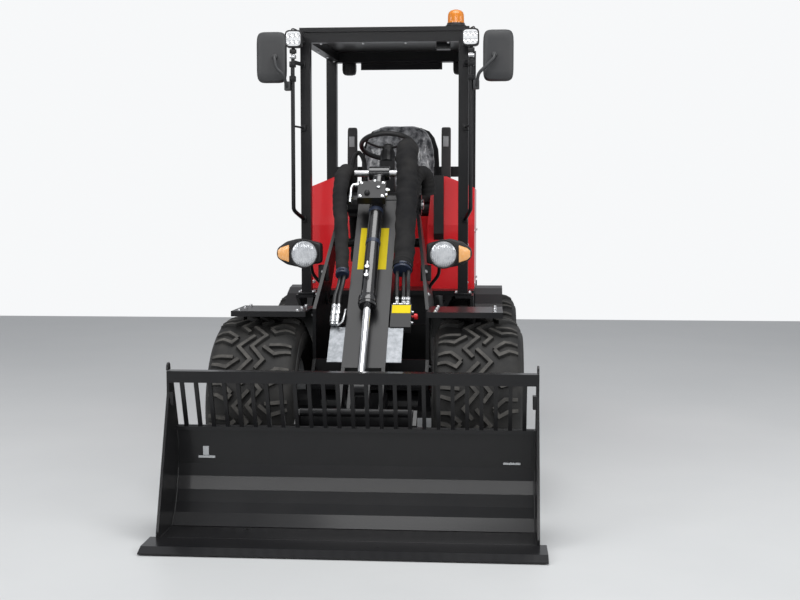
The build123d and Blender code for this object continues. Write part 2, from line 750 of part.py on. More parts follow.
def strip(points, thickness):
    """The outline of a bent sheet: a line of (y, z) points and its copy moved by a thickness."""
    vectors = [Vector(y, z) for y, z in points]
    normals = []
    for first, second in zip(vectors, vectors[1:]):
        run = (second - first).normalized()
        normals.append(Vector(-run.Y, run.X))
    moved = [vectors[0] - normals[0] * thickness]
    for index in range(1, len(vectors) - 1):
        middle = (normals[index - 1] + normals[index]).normalized()
        share = middle.dot(normals[index])
        moved.append(vectors[index] - middle * (thickness / share))
    moved.append(vectors[-1] - normals[-1] * thickness)
    return [(v.X, v.Y) for v in vectors] + [(v.X, v.Y) for v in reversed(moved)]


shell = plate_yz(strip(inside_line, bucket_wall), -bucket_half + bucket_side,
                 2 * (bucket_half - bucket_side))
rail = block(-bucket_half + bucket_side, bucket_half - bucket_side, grille_low_y - bar_depth,
             grille_low_y + 2 * bar_depth, grille_low_z - bar_depth, grille_low_z)
side_front_y = -1684.0
side_corner_z = 45.0
side_step_z = 550.0
side_top_z = grille_top_z + top_bar_height
side_floor_y = -1480.0
# Outer bends of the bucket's side plate, columns y and z
side_bends = [
    (-1415.0, 88.0),
    (-1387.0, 165.0),
    (-1361.0, 235.0),
]
side_outline = [
    (side_front_y, side_corner_z), (side_front_y, edge_low_z + edge_thick),
    (edge_back_y, edge_low_z + edge_thick), (edge_back_y, floor_z - bucket_wall),
    (side_floor_y, floor_z - bucket_wall), *side_bends, (grille_low_y + 2 * bar_depth, grille_low_z),
    (grille_top_y + top_bar_depth / 2, side_top_z), (grille_top_y - top_bar_depth / 2, side_top_z),
    (grille_top_y - top_bar_depth / 2, side_step_z),
]
side_plate = plate_yz(side_outline, bucket_half - bucket_side, bucket_side)
hook_foot_y = -1378.0
hook_foot_z = 190.0
hook_outline = [
    (hitch_face_y, hitch_low_z + plate), (hitch_face_y, hitch_high_z + 2 * plate),
    (grille_low_y + 3 * plate, hitch_high_z - 3 * plate),
    (inside_line[4][0] + plate / 2, inside_line[4][1]), (hook_foot_y, hook_foot_z),
]
hook = plate_yz(hook_outline, hitch_face_half, thick_plate)
bucket = join(shell, rail, both(side_plate), both(hook))
keep("bucket", bucket)

bars = []
bars_each_side = int((bucket_half - bucket_side - bar_width) / bar_pitch)
for index in range(-bars_each_side, bars_each_side + 1):
    x = index * bar_pitch
    bar_outline = [
        (grille_low_y - bar_depth, grille_low_z), (grille_low_y, grille_low_z),
        (grille_top_y + bar_depth / 2, grille_top_z + plate), (grille_top_y - bar_depth / 2,
                                                               grille_top_z + plate),
    ]
    bars.append(plate_yz(bar_outline, x - bar_width / 2, bar_width))
top_bar = block(-bucket_half + bucket_side, bucket_half - bucket_side, grille_top_y - top_bar_depth / 2,
                grille_top_y + top_bar_depth / 2, grille_top_z, side_top_z)
keep("bucket_grille", join(top_bar, bars))
edge_outline = [
    (-front_reach, edge_low_z), (-front_reach, edge_low_z + thin_plate),
    (-front_reach + edge_bevel, edge_low_z + edge_thick), (edge_back_y, edge_low_z + edge_thick),
    (edge_back_y, edge_low_z),
]
keep("cutting_edge", plate_yz(edge_outline, -bucket_width / 2, bucket_width))

# Rear frame: beams, bulkhead, ears, deck and wings for the front posts
beam_outer_x = 250.0
beam_x = beam_outer_x - thick_plate
bulkhead_y = 170.0
beam_low_z = 400.0
beam_end_y = 1480.0
deck_top_z = 835.0
deck_low_z = deck_top_z - thick_plate
deck_half = 450.0
deck_front_y = 140.0
deck_back_y = 1130.0
wing_inner_x = 360.0
wing_front_y = -62.0
beam_outline = [
    (bulkhead_y, beam_low_z), (bulkhead_y, deck_low_z + thin_plate), (deck_back_y, deck_low_z + thin_plate),
    (deck_back_y, deck_low_z - 2 * ear_radius), (beam_end_y, deck_low_z - 2 * ear_radius), (beam_end_y,
                                                                                            saddle_z),
    (axle_y - 2 * ear_radius, saddle_z), (axle_y - 3 * ear_radius, beam_low_z),
]
beam = plate_yz(beam_outline, beam_x, thick_plate)
bulkhead = block(-beam_outer_x, beam_outer_x, bulkhead_y, bulkhead_y + thick_plate, ear_lower_z - plate,
                 deck_low_z)
deck = block(-deck_half, deck_half, deck_front_y, deck_back_y, deck_low_z, deck_top_z)
wing = block(wing_inner_x, deck_half, wing_front_y, deck_front_y, deck_low_z, deck_top_z)
gusset_z = deck_low_z - 2 * ear_radius
wing_gusset = plate_yz([(wing_front_y, deck_low_z), (bulkhead_y, gusset_z), (bulkhead_y + ear_radius,
                                                                             deck_low_z)],
                       deck_half - thick_plate, thick_plate)
cross_floor = block(-beam_x, beam_x, axle_y - 2 * ear_radius, beam_end_y, saddle_z, saddle_z + thick_plate)
window_half_z = 62.0
window_x0 = 105.0
window_x1 = 228.0
steer_base_x = 140.0
steer_base_y = 620.0
steer_cross_y = steer_base_y + 2 * steer_lug_radius
steer_wall = block(-beam_x, beam_x, steer_cross_y - plate, steer_cross_y + thick_plate - plate, saddle_z,
                   saddle_z + 4 * steer_lug_radius)
steer_base_lugs = []
for z in (steer_arm_z - steer_fork / 2 - steer_arm_height, steer_arm_z + steer_fork / 2):
    steer_base_lugs.append(block(steer_base_x - steer_lug_radius, steer_base_x + steer_lug_radius,
                                 steer_base_y,
                                 steer_cross_y, z, z + steer_arm_height))
    steer_base_lugs.append(rod((steer_base_x, steer_base_y, z), (steer_base_x, steer_base_y,
                                                                 z + steer_arm_height),
                               steer_lug_radius))
rear_frame = join(both(beam), bulkhead, deck, both(wing), both(wing_gusset), cross_floor, steer_wall,
                  steer_base_lugs,
                  ear(ear_upper_z, heavy_plate, bulkhead_y + thick_plate / 2, centre_pin_radius),
                  ear(ear_lower_z, heavy_plate, bulkhead_y + thick_plate / 2, centre_pin_radius))
rear_frame -= block(window_x0, window_x1, bulkhead_y - overrun, bulkhead_y + overrun + thick_plate,
                    steer_arm_z - window_half_z, steer_arm_z + window_half_z)
steer_pin_length = steer_fork + 2 * steer_arm_height + 2 * plate
steer_pin_low = steer_arm_z - steer_pin_length / 2
rear_frame -= hole((steer_base_x, steer_base_y, steer_pin_low),
                   (steer_base_x, steer_base_y, steer_pin_low + steer_pin_length), steer_pin_radius)
keep("rear_frame", rear_frame)
pin_low = ear_lower_z - heavy_plate - run_gap - plate
upper_pin_low = ear_upper_z - plate
pin_height = 2 * heavy_plate + run_gap + 2 * plate
centre_pins = [
    Pos(0, 0, pin_low) * Cylinder(centre_pin_radius, pin_height, align=upright),
    Pos(0, 0, upper_pin_low) * Cylinder(centre_pin_radius, pin_height, align=upright),
]
steer_pin = Pos(steer_base_x, steer_base_y, steer_pin_low) * Cylinder(steer_pin_radius, steer_pin_length,
                                                                      align=upright)
keep("centre_pins", join(centre_pins, steer_pin))

# Steering cylinder between the rear frame and the front frame's arm
steer_start = (steer_base_x, steer_base_y, steer_arm_z)
steer_end = (steer_eye_x, steer_eye_y, steer_arm_z)
steer_barrel_radius = 24.0
steer_gland_radius = 27.0
steer_rod_radius = 12.5
steer_barrel_end = 500.0
steer_rod_inside = 290.0
steer_eye_half = steer_fork / 2 - run_gap
keep("steer_barrel", cylinder_barrel(steer_start, steer_end, steer_barrel_radius, steer_eye_half,
                                     steer_pin_radius,
                                     steer_barrel_radius - run_gap, steer_barrel_end, steer_gland_radius - run_gap,
                                     steer_rod_radius))
keep("steer_rod", cylinder_rod(steer_start, steer_end, steer_lug_radius - run_gap, steer_eye_half,
                               steer_pin_radius,
                               steer_rod_radius, steer_rod_inside))

# Operator's place: floor, red side boxes, pedestal and seat
floor_back_y = 475.0
keep("platform", block(-deck_half, deck_half, deck_front_y, floor_back_y, deck_top_z, deck_top_z + plate))
console_inner_x = 310.0
console_knee_x = 200.0
console_front_y = 300.0
console_knee_y = 470.0
console_back_y = 1040.0
console_top_z = 1442.0
console_outer_z = 1381.0
console_sill_z = 1184.0
console_lean = 50.0
console_base_z = deck_top_z + plate
console_outline = [
    (floor_back_y, deck_top_z), (floor_back_y, console_base_z), (console_front_y, console_base_z),
    (console_front_y, console_sill_z), (console_front_y + console_lean, console_top_z),
    (console_back_y, console_top_z), (console_back_y, deck_top_z),
]
console = plate_yz(console_outline, console_knee_x, deck_half - console_knee_x)
console -= block(console_knee_x - overrun, console_inner_x, console_knee_y, console_back_y + overrun,
                 deck_low_z,
                 console_top_z + overrun)
console_section = [
    (console_knee_x, deck_top_z), (console_knee_x, console_sill_z), (console_knee_x + console_lean / 2,
                                                                     console_top_z),
    (console_knee_x + 2 * console_lean, console_top_z), (deck_half, console_outer_z), (deck_half,
                                                                                       deck_top_z),
]
console = console & plate_xz(console_section, console_back_y, console_back_y - console_front_y)
keep("side_consoles", join(both(console)))
# Control stand in front of the left-hand box
stand_x = 261.0
stand_half = 26.0
stand_depth = 34.0
stand_low_z = 1105.0
stand_top_z = 1446.0
stand_outline = [
    (console_front_y, stand_low_z), (console_front_y - stand_depth, stand_low_z + stand_depth),
    (console_front_y - stand_depth, stand_top_z), (console_front_y, stand_top_z),
]
stand = plate_yz(stand_outline, stand_x - stand_half, 2 * stand_half)
keep("control_stand", stand)
pedestal_half = 262.0
pedestal_top_z = 1230.0
pedestal_lean = 3.0
pedestal_outline = [
    (floor_back_y, deck_top_z), (floor_back_y + pedestal_lean, pedestal_top_z), (console_back_y,
                                                                                 pedestal_top_z),
    (console_back_y, deck_top_z),
]
keep("seat_pedestal", plate_yz(pedestal_outline, -pedestal_half, 2 * pedestal_half))
seat_half = 235.0
seat_front_y = 480.0
seat_back_y = 900.0
seat_base_height = 70.0
seat_base_top = pedestal_top_z + seat_base_height
cushion_height = 100.0
back_thick = 100.0
back_top_z = 1780.0
back_lean = 60.0
seat_pan = block(-seat_half + 2 * plate, seat_half - 2 * plate, seat_front_y + 2 * plate, seat_back_y,
                 pedestal_top_z,
                 seat_base_top)
back_shell_y = seat_back_y + back_thick + seat_gap
shell_outline = [
    (seat_back_y, pedestal_top_z), (seat_back_y, seat_base_top), (back_shell_y, seat_base_top),
    (back_shell_y + back_lean, back_top_z - 3 * plate), (back_shell_y + back_lean + 2 * plate,
                                                         back_top_z - 3 * plate),
    (back_shell_y + 2 * plate, pedestal_top_z),
]
seat_shell = plate_yz(shell_outline, -seat_half, 2 * seat_half)
keep("seat_base", join(seat_pan, seat_shell))
cushion_z = seat_base_top + seat_gap
keep("seat_cushion", block(-seat_half, seat_half, seat_front_y, seat_back_y - seat_gap, cushion_z,
                           cushion_z + cushion_height))
rest_low_z = cushion_z + cushion_height / 2
rest_outline = [
    (seat_back_y, cushion_z), (seat_back_y + back_lean, back_top_z), (seat_back_y + back_lean + back_thick,
                                                                      back_top_z - 2 * plate),
    (seat_back_y + back_thick, cushion_z),
]
keep("seat_backrest", plate_yz(rest_outline, -seat_half + plate, 2 * (seat_half - plate)))
arm_x = 245.0
arm_half = 29.0
arm_top_z = 1746.0
arm_low_z = 1330.0
arm_y = seat_back_y + 2 * plate
arm_depth = 60.0
armrest = block(arm_x + seat_gap, arm_x + seat_gap + 2 * arm_half, arm_y, arm_y + arm_depth, arm_low_z,
                arm_top_z)
arm_boss = block(seat_half, arm_x + arm_half, back_shell_y, back_shell_y + 2 * plate, arm_low_z,
                 arm_low_z + 6 * plate)
arm_link = block(arm_x + seat_gap, arm_x + 2 * arm_half, arm_y + arm_depth - plate,
                 back_shell_y + 2 * plate,
                 arm_low_z, arm_low_z + 6 * plate)
keep("armrests", join(both(join(armrest, arm_boss, arm_link))))

# Steering column and wheel
wheel_y = 190.0
wheel_z = 1595.0
wheel_ring_radius = 140.0
wheel_rim_radius = 12.0
wheel_tilt = 25.0
hub_r = 30.0
hub_h = 30.0
shaft_length = 60.0
column_radius = 38.0
wheel_plane = Pos(0, wheel_y, wheel_z) * Rot(-wheel_tilt, 0, 0)
ring_sides = 24
ring_corners = []
for index in range(ring_sides):
    around = 2 * pi * index / ring_sides
    section = []
    for corner in range(tube_sides):
        turn = 2 * pi * corner / tube_sides
        reach = wheel_ring_radius + wheel_rim_radius * cos(turn)
        section.append(Vector(reach * cos(around), reach * sin(around), wheel_rim_radius * sin(turn)))
    ring_corners.append(section)
ring = faceted(ring_corners, closed=True)
spokes = []
for angle in (90, 210, 330):
    spokes.append(Rot(0, 0, angle) * block(0, wheel_ring_radius, -plate, plate, -hub_h / 2,
                                           -hub_h / 2 + plate))
    spokes.append(Rot(0, 0, angle) * block(wheel_ring_radius - plate, wheel_ring_radius, -plate, plate,
                                           -hub_h / 2, 0))
wheel_hub = rod((0, 0, -hub_h), (0, 0, 0), hub_r)
wheel_shaft = pin((0, 0, -hub_h - shaft_length), (0, 0, -hub_h), plate)
keep("steering_wheel", wheel_plane * join(ring, spokes, wheel_hub, wheel_shaft))
column_top = -hub_h - run_gap
column_head = rod((0, 0, column_top - shaft_length), (0, 0, column_top), column_radius)
shaft_bore = hole((0, 0, column_top - shaft_length - plate), (0, 0, column_top + plate), plate + shaft_gap)
column_setback = 15.0
column_foot_y = wheel_y + column_setback
column_neck_z = wheel_z - 2 * column_radius
column_outline = [
    (column_foot_y - 2 * column_radius, deck_top_z + plate), (column_foot_y - 2 * column_radius,
                                                              column_neck_z),
    (column_foot_y - column_radius, column_neck_z), (column_foot_y + column_radius, deck_top_z + plate),
]
column = plate_yz(column_outline, -column_radius, 2 * column_radius)
keep("steering_column", join(column, wheel_plane * column_head) - wheel_plane * shaft_bore)

# Roll-over frame and roof
front_post = 50.0
rear_post = 60.0
front_post_x = 397.0
rear_post_x = 413.0
front_post_y = -23.0
rear_post_y = 1090.0
post_top_front = 2150.0
post_top_rear = 2195.0
foot_half = 42.0
crossbar_z = 1490.0
posts = []
for x, y, size, top in ((front_post_x, front_post_y, front_post, post_top_front),
                        (rear_post_x, rear_post_y, rear_post, post_top_rear)):
    for side in (-1, 1):
        posts.append(block(side * x - size / 2, side * x + size / 2, y - size / 2, y + size / 2,
                           deck_top_z, top))
front_beam = block(-front_post_x, front_post_x, front_post_y - front_post / 2,
                   front_post_y + front_post / 2,
                   post_top_front - front_post, post_top_front)
rear_beam = block(-rear_post_x, rear_post_x, rear_post_y - rear_post / 2, rear_post_y + rear_post / 2,
                  post_top_rear - rear_post, post_top_rear)
crossbar = block(-rear_post_x, rear_post_x, rear_post_y - rear_post / 2, rear_post_y + rear_post / 2,
                 crossbar_z - rear_post / 2, crossbar_z + rear_post / 2)
rail_outline = [
    (front_post_y, post_top_front - front_post), (front_post_y, post_top_front), (rear_post_y,
                                                                                  post_top_rear),
    (rear_post_y, post_top_rear - front_post),
]
side_rail = plate_yz(rail_outline, front_post_x - front_post / 2, front_post)
holder_half = 243.0
holder_low_z = 2096.0
holder_y = rear_post_y + rear_post / 2
holder = block(-holder_half, holder_half, holder_y, holder_y + plate / 2, holder_low_z,
               post_top_rear - thin_plate)
keep("rops_frame", join(posts, front_beam, rear_beam, crossbar, both(side_rail), holder))
roof_front_y = -56.0
roof_back_y = 1135.0
roof_thick = 22.0
roof_slope = (post_top_rear - post_top_front) / (rear_post_y - front_post_y)


def roof_z(y):
    """Height of the roof frame's top at a place along the loader."""
    return post_top_front + (y - front_post_y) * roof_slope + rear_post / 2 * roof_slope + seat_gap


roof_outline = [
    (roof_front_y, roof_z(roof_front_y)), (roof_front_y, roof_z(roof_front_y) + roof_thick),
    (roof_back_y, roof_z(roof_back_y) + roof_thick), (roof_back_y, roof_z(roof_back_y)),
]
roof_half = 425.0
keep("roof_panel", plate_yz(roof_outline, -roof_half, 2 * roof_half))
beacon_x = 355.0
beacon_y = 50.0
beacon_base_radius = 52.0
beacon_base_height = 22.0
beacon_radius = 43.0
beacon_height = 68.0
base_z = roof_z(beacon_y + beacon_base_radius) + roof_thick
dome_z = base_z + seat_gap + beacon_base_height
keep("beacon_base", rod((beacon_x, beacon_y, base_z + seat_gap), (beacon_x, beacon_y, dome_z),
                        beacon_base_radius))
dome_rows = ((0.0, 1.0), (0.62, 0.96), (0.86, 0.78), (1.0, 0.42))
dome = drum([(-height * beacon_height, share * beacon_radius) for height, share in dome_rows], bar_sides)
keep("beacon_dome", Pos(beacon_x, beacon_y, dome_z) * Rot(0, 90, 0) * dome)

# Lamps, mirrors and rails on the frame
led_half = 42.0
led_depth = 45.0
led_x = 433.0
led_y = -190.0
led_z = 2100.0
stay_radius = 8.0
led_body = block(led_x - led_half, led_x + led_half, led_y, led_y + led_depth, led_z - led_half,
                 led_z + led_half)
led_stay = rod((led_x - led_half / 2, led_y + led_depth - plate, led_z),
               (front_post_x + plate, front_post_y - front_post / 2, led_z), stay_radius)
led_stay -= block(front_post_x - front_post, front_post_x + front_post, front_post_y - front_post / 2,
                  front_post_y + front_post, led_z - led_half, led_z + led_half)
keep("work_lights_front", join(both(join(led_body, led_stay))))
rear_lamp_x = 318.0
rear_lamp_half = 45.0
rear_lamp_z = 2113.0
rear_lamp_y = rear_post_y + rear_post / 2 + 2 * plate
rear_lamp = block(rear_lamp_x - rear_lamp_half, rear_lamp_x + rear_lamp_half, rear_lamp_y,
                  rear_lamp_y + led_depth,
                  rear_lamp_z - rear_lamp_half, rear_lamp_z + rear_lamp_half)
rear_stay = block(rear_lamp_x - plate, rear_lamp_x + plate, rear_post_y + rear_post / 2,
                  rear_lamp_y + plate,
                  rear_lamp_z + rear_lamp_half - 2 * plate, rear_lamp_z + rear_lamp_half)
keep("work_lights_rear", join(both(join(rear_lamp, rear_stay))))
rail_x = 437.0
rail_y = -190.0
rail_top_z = 1990.0
rail_low_z = 1265.0
rail_end_z = 1215.0
rail_radius = 10.0
rail_mid_z = 1676.0
post_face_y = front_post_y - front_post / 2
rail_turn = 3 * rail_radius
rail_points = [
    (front_post_x + plate, post_face_y, rail_top_z), (rail_x, rail_y + rail_turn, rail_top_z),
    (rail_x, rail_y, rail_top_z - rail_turn), (rail_x, rail_y, rail_low_z), (front_post_x + plate,
                                                                             post_face_y, rail_end_z),
]
rail_tube = bent_tube(rail_points, rail_radius)
rail_stay = rod((rail_x, rail_y, rail_mid_z), (front_post_x + plate, post_face_y, rail_mid_z),
                rail_radius / 2)
post_space = block(front_post_x - front_post, front_post_x + front_post, post_face_y - seat_gap,
                   front_post_y,
                   deck_top_z, post_top_front)
grab_rail = join(rail_tube, rail_stay) - post_space
keep("grab_rails", join(both(grab_rail)))
mirror_x = 560.0
mirror_y = -215.0
mirror_z = 2010.0
mirror_half_x = 75.0
mirror_half_z = 125.0
mirror_depth = 40.0
head_box = block(mirror_x - mirror_half_x, mirror_x + mirror_half_x, mirror_y, mirror_y + mirror_depth,
                 mirror_z - mirror_half_z, mirror_z + mirror_half_z)
head_box = chamfer(head_box.edges().filter_by(Axis.Y), mirror_half_x / 4)
mirror_arm = bent_tube([(mirror_x - mirror_half_x / 3, mirror_y + plate, mirror_z),
                        (mirror_x - mirror_half_x / 3, mirror_y - 3 * plate, mirror_z - 2 * plate),
                        (rail_x + 3 * plate, mirror_y - 3 * plate, mirror_z - 8 * plate),
                        (rail_x + 3 * plate, rail_y, mirror_z - 14 * plate)], stay_radius)
clamp = block(rail_x + rail_radius, rail_x + 4 * plate, rail_y - 1.5 * plate, rail_y + 1.5 * plate,
              mirror_z - 16 * plate, mirror_z - 12 * plate)
mirror_piece = join(head_box, mirror_arm, clamp)
keep("mirrors", join(both(mirror_piece)))
relay_x = 292.0
relay_half = 35.0
relay_y = 40.0
relay_depth = 60.0
relay_height = 80.0
keep("relay_box", block(relay_x - relay_half, relay_x + relay_half, relay_y, relay_y + relay_depth,
                        roof_z(relay_y) - relay_height, roof_z(relay_y)))

# Rear fenders around the wheels, engine, wall, hood and counterweight
arch_radius = 436.0
arch_start = 42.0
arch_end = 138.0
arch_flats = 8
arch_points = []
for radius, first, last in ((arch_radius + thin_plate, arch_start, arch_end), (arch_radius, arch_end,
                                                                               arch_start)):
    for index in range(arch_flats + 1):
        angle = radians(first + (last - first) * index / arch_flats)
        arch_points.append((axle_y + radius * cos(angle), axle_z + radius * sin(angle)))
rear_fender_outer = 602.0
rear_fender = plate_yz(arch_points, deck_half, rear_fender_outer - deck_half)
keep("rear_fenders", join(both(rear_fender)))
engine_half = 200.0
engine_front_y = deck_back_y + run_gap
engine_back_y = 1465.0
engine_low_z = saddle_z + thick_plate
engine_top_z = 1120.0
keep("engine_block", block(-engine_half, engine_half, engine_front_y, engine_back_y, engine_low_z,
                           engine_top_z))
hood_front_y = 1140.0
hood_top_z = 1310.0
hood_half = 410.0
hood_low_z = 825.0
hood_knee_y = 1440.0
hood_knee_z = 1290.0
hood_back_z = 1150.0
hood_back_y = 1540.0
hood_wall = 5.0
hood_outline = [
    (hood_front_y, hood_low_z), (hood_front_y, hood_top_z), (hood_knee_y, hood_knee_z),
    (hood_back_y - 2 * plate, hood_back_z), (hood_back_y, hood_low_z),
]
inner_outline = [
    (hood_front_y - overrun, hood_low_z - overrun), (hood_front_y - overrun, hood_top_z - hood_wall),
    (hood_front_y, hood_top_z - hood_wall), (hood_knee_y - hood_wall / 2, hood_knee_z - hood_wall),
    (hood_back_y - 2 * plate - hood_wall, hood_back_z - hood_wall / 2), (hood_back_y - hood_wall,
                                                                         hood_low_z - overrun),
]
hood = plate_yz(hood_outline, -hood_half, 2 * hood_half)
hood -= plate_yz(inner_outline, -hood_half + hood_wall, 2 * (hood_half - hood_wall))
wall_y = console_back_y + run_gap
wall_thick = 8.0
wall_half = 350.0
rear_wall = block(-wall_half, wall_half, wall_y, wall_y + wall_thick, deck_top_z, hood_top_z - 2 * plate)
# Hood hinge: a pin in two ears on the wall, and a knuckle between them on the hood
hinge_ahead = 12.0
hinge_above = 8.0
hinge_y = hood_front_y - hinge_ahead
hinge_z = hood_top_z + hinge_above
hinge_x = 300.0
hinge_pin_radius = 8.0
knuckle_radius = 14.0
knuckle_half = 30.0
knuckles = []
hinge_ears = []
for side in (-1, 1):
    x = side * hinge_x
    knuckles.append(cross_rod(x - knuckle_half, x + knuckle_half, hinge_y, hinge_z, knuckle_radius))
    knuckles.append(block(x - knuckle_half, x + knuckle_half, hinge_y, hood_front_y + 2 * knuckle_half,
                          hood_top_z - hood_wall, hinge_z - hinge_pin_radius + thin_plate / 2))
    for end in (-1, 1):
        ear_x = x + end * (knuckle_half + run_gap)
        hinge_ears.append(block(ear_x, ear_x + end * plate, wall_y, hinge_y, hinge_z - 4 * knuckle_radius,
                                hinge_z + knuckle_radius))
        hinge_ears.append(cross_rod(min(ear_x, ear_x + end * plate), max(ear_x, ear_x + end * plate),
                                    hinge_y, hinge_z,
                                    knuckle_radius))
    ear_reach = knuckle_half + run_gap + 2 * plate
    hinge_bar = cross_pin if side > 0 else cross_rod
    hinge_ears.append(hinge_bar(x - ear_reach, x + ear_reach, hinge_y, hinge_z, hinge_pin_radius))
knuckle_bore = cross_hole(-hood_half, hood_half, hinge_y, hinge_z, hinge_pin_radius + shaft_gap)
keep("hood", join(hood, knuckles) - knuckle_bore)
keep("rear_wall", join(rear_wall, hinge_ears))
weight_front_y = beam_end_y + seat_gap
weight_half = 450.0
weight_low_z = 380.0
weight_top_z = hood_low_z - plate
weight_outline = [
    (weight_front_y, weight_low_z), (weight_front_y, weight_top_z), (rear_reach, weight_top_z),
    (rear_reach, weight_low_z + 2 * ear_radius), (rear_reach - ear_radius, weight_low_z),
]
weight = plate_yz(weight_outline, -weight_half, 2 * weight_half)
# Tow jaw: two lips with an upright pin bore in the middle of the weight
jaw_half = 70.0
jaw_depth = 70.0
jaw_low_z = 500.0
jaw_high_z = 640.0
jaw_lip = 45.0
jaw_pin_radius = 16.0
jaw_front_y = rear_reach - jaw_depth
weight -= block(-jaw_half, jaw_half, jaw_front_y, rear_reach + overrun, weight_low_z - overrun, jaw_low_z)
weight -= block(-jaw_half, jaw_half, jaw_front_y, rear_reach + overrun, jaw_high_z, weight_top_z + overrun)
weight -= block(-jaw_half + plate, jaw_half - plate, jaw_front_y, rear_reach + overrun, jaw_low_z + jaw_lip,
                jaw_high_z - jaw_lip)
weight -= Pos(0, rear_reach - jaw_depth / 2, jaw_low_z - overrun) * Cylinder(
    jaw_pin_radius, jaw_high_z - jaw_low_z + 2 * overrun, align=upright)
keep("counterweight", weight)

for name, piece in nodes.items():
    export_step(piece, "parts/" + name + ".step")
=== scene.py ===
import json
import math

import bmesh
import bpy
from mathutils import Matrix, Vector


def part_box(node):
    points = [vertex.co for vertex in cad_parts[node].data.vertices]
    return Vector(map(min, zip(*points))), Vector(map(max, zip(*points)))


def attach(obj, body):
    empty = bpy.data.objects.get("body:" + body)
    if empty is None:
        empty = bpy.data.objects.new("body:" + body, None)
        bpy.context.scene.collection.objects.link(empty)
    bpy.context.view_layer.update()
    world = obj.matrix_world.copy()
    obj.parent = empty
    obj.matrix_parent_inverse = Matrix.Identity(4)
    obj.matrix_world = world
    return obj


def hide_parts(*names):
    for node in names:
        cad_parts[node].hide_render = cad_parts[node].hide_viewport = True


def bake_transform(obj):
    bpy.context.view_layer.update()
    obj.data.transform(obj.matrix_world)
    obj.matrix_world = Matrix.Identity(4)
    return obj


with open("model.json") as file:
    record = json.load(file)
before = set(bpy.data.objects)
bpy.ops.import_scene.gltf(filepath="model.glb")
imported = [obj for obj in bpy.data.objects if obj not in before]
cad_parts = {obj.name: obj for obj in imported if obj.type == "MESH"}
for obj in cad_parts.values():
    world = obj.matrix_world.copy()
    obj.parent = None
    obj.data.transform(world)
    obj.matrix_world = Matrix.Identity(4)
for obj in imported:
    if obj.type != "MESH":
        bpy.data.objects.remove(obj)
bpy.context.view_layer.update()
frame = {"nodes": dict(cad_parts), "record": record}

# Compact articulated wheel loader: paint, rubber, glass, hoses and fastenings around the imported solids.
# Metres. X to the loader's own left, Y towards its rear, Z up. The bucket faces -Y.

scene = bpy.context.scene


# Shader groups and materials

def group_sockets(tree, inputs, outputs):
    """Adds named sockets to a node group from (name, type, default) rows."""
    for name, kind, default in inputs:
        socket = tree.interface.new_socket(name=name, in_out="INPUT", socket_type=kind)
        if default is not None:
            socket.default_value = default
    for name, kind in outputs:
        tree.interface.new_socket(name=name, in_out="OUTPUT", socket_type=kind)
    return tree.nodes.new("NodeGroupInput"), tree.nodes.new("NodeGroupOutput")


def node(tree, kind, values=None, **settings):
    """A node with its settings, and its unlinked inputs by name or number."""
    made = tree.nodes.new(kind)
    for name, value in settings.items():
        setattr(made, name, value)
    for name, value in (values or {}).items():
        made.inputs[name].default_value = value
    return made


def join(tree, *rows):
    """Links, from rows of a node, its output, the next node and its input."""
    for source, output, target, entry in rows:
        tree.links.new(source.outputs[output], target.inputs[entry])


def build_wear_and_highlight_surface():
    """A colour with broad patches of dust, which on the seat film are painted highlights, and fine grain, its
    roughness and a height for a bump.
    """
    tree = bpy.data.node_groups.new("wear_and_highlight_surface", "ShaderNodeTree")
    inlet, outlet = group_sockets(tree, (
        ("Place", "NodeSocketVector", None),
        ("Colour", "NodeSocketColor", (0.02, 0.02, 0.02, 1.0)),
        ("Dust And Highlight", "NodeSocketColor", (0.3, 0.28, 0.25, 1.0)),
        ("Dust And Highlight Amount", "NodeSocketFloat", 0.1),
        ("Patch Scale", "NodeSocketFloat", 6.0),
        ("Grain Scale", "NodeSocketFloat", 220.0),
        ("Roughness", "NodeSocketFloat", 0.4),
        ("Roughness Spread", "NodeSocketFloat", 0.15),
    ), (("Colour", "NodeSocketColor"), ("Roughness", "NodeSocketFloat"), ("Height", "NodeSocketFloat")))
    patches = node(tree, "ShaderNodeTexNoise", {"Detail": 6.0, "Roughness": 0.62})
    grain = node(tree, "ShaderNodeTexNoise", {"Detail": 3.0, "Roughness": 0.5})
    spread = node(tree, "ShaderNodeMapRange", {"From Min": 0.38, "From Max": 0.72})
    amount = node(tree, "ShaderNodeMath", operation="MULTIPLY")
    mix = node(tree, "ShaderNodeMix", data_type="RGBA")
    centred = node(tree, "ShaderNodeMath", {1: 0.5}, operation="SUBTRACT")
    rough = node(tree, "ShaderNodeMath", operation="MULTIPLY_ADD")
    join(tree, (inlet, "Place", patches, "Vector"), (inlet, "Patch Scale", patches, "Scale"),
         (inlet, "Place", grain, "Vector"), (inlet, "Grain Scale", grain, "Scale"),
         (patches, "Fac", spread, "Value"), (spread, "Result", amount, 0), (inlet, "Dust And Highlight Amount", amount, 1),
         (amount, 0, mix, "Factor"), (inlet, "Colour", mix, "A"), (inlet, "Dust And Highlight", mix, "B"),
         (patches, "Fac", centred, 0), (centred, 0, rough, 0), (inlet, "Roughness Spread", rough, 1),
         (inlet, "Roughness", rough, 2), (mix, "Result", outlet, "Colour"), (rough, 0, outlet, "Roughness"),
         (grain, "Fac", outlet, "Height"))
    return tree


wear_and_highlight_surface = build_wear_and_highlight_surface()


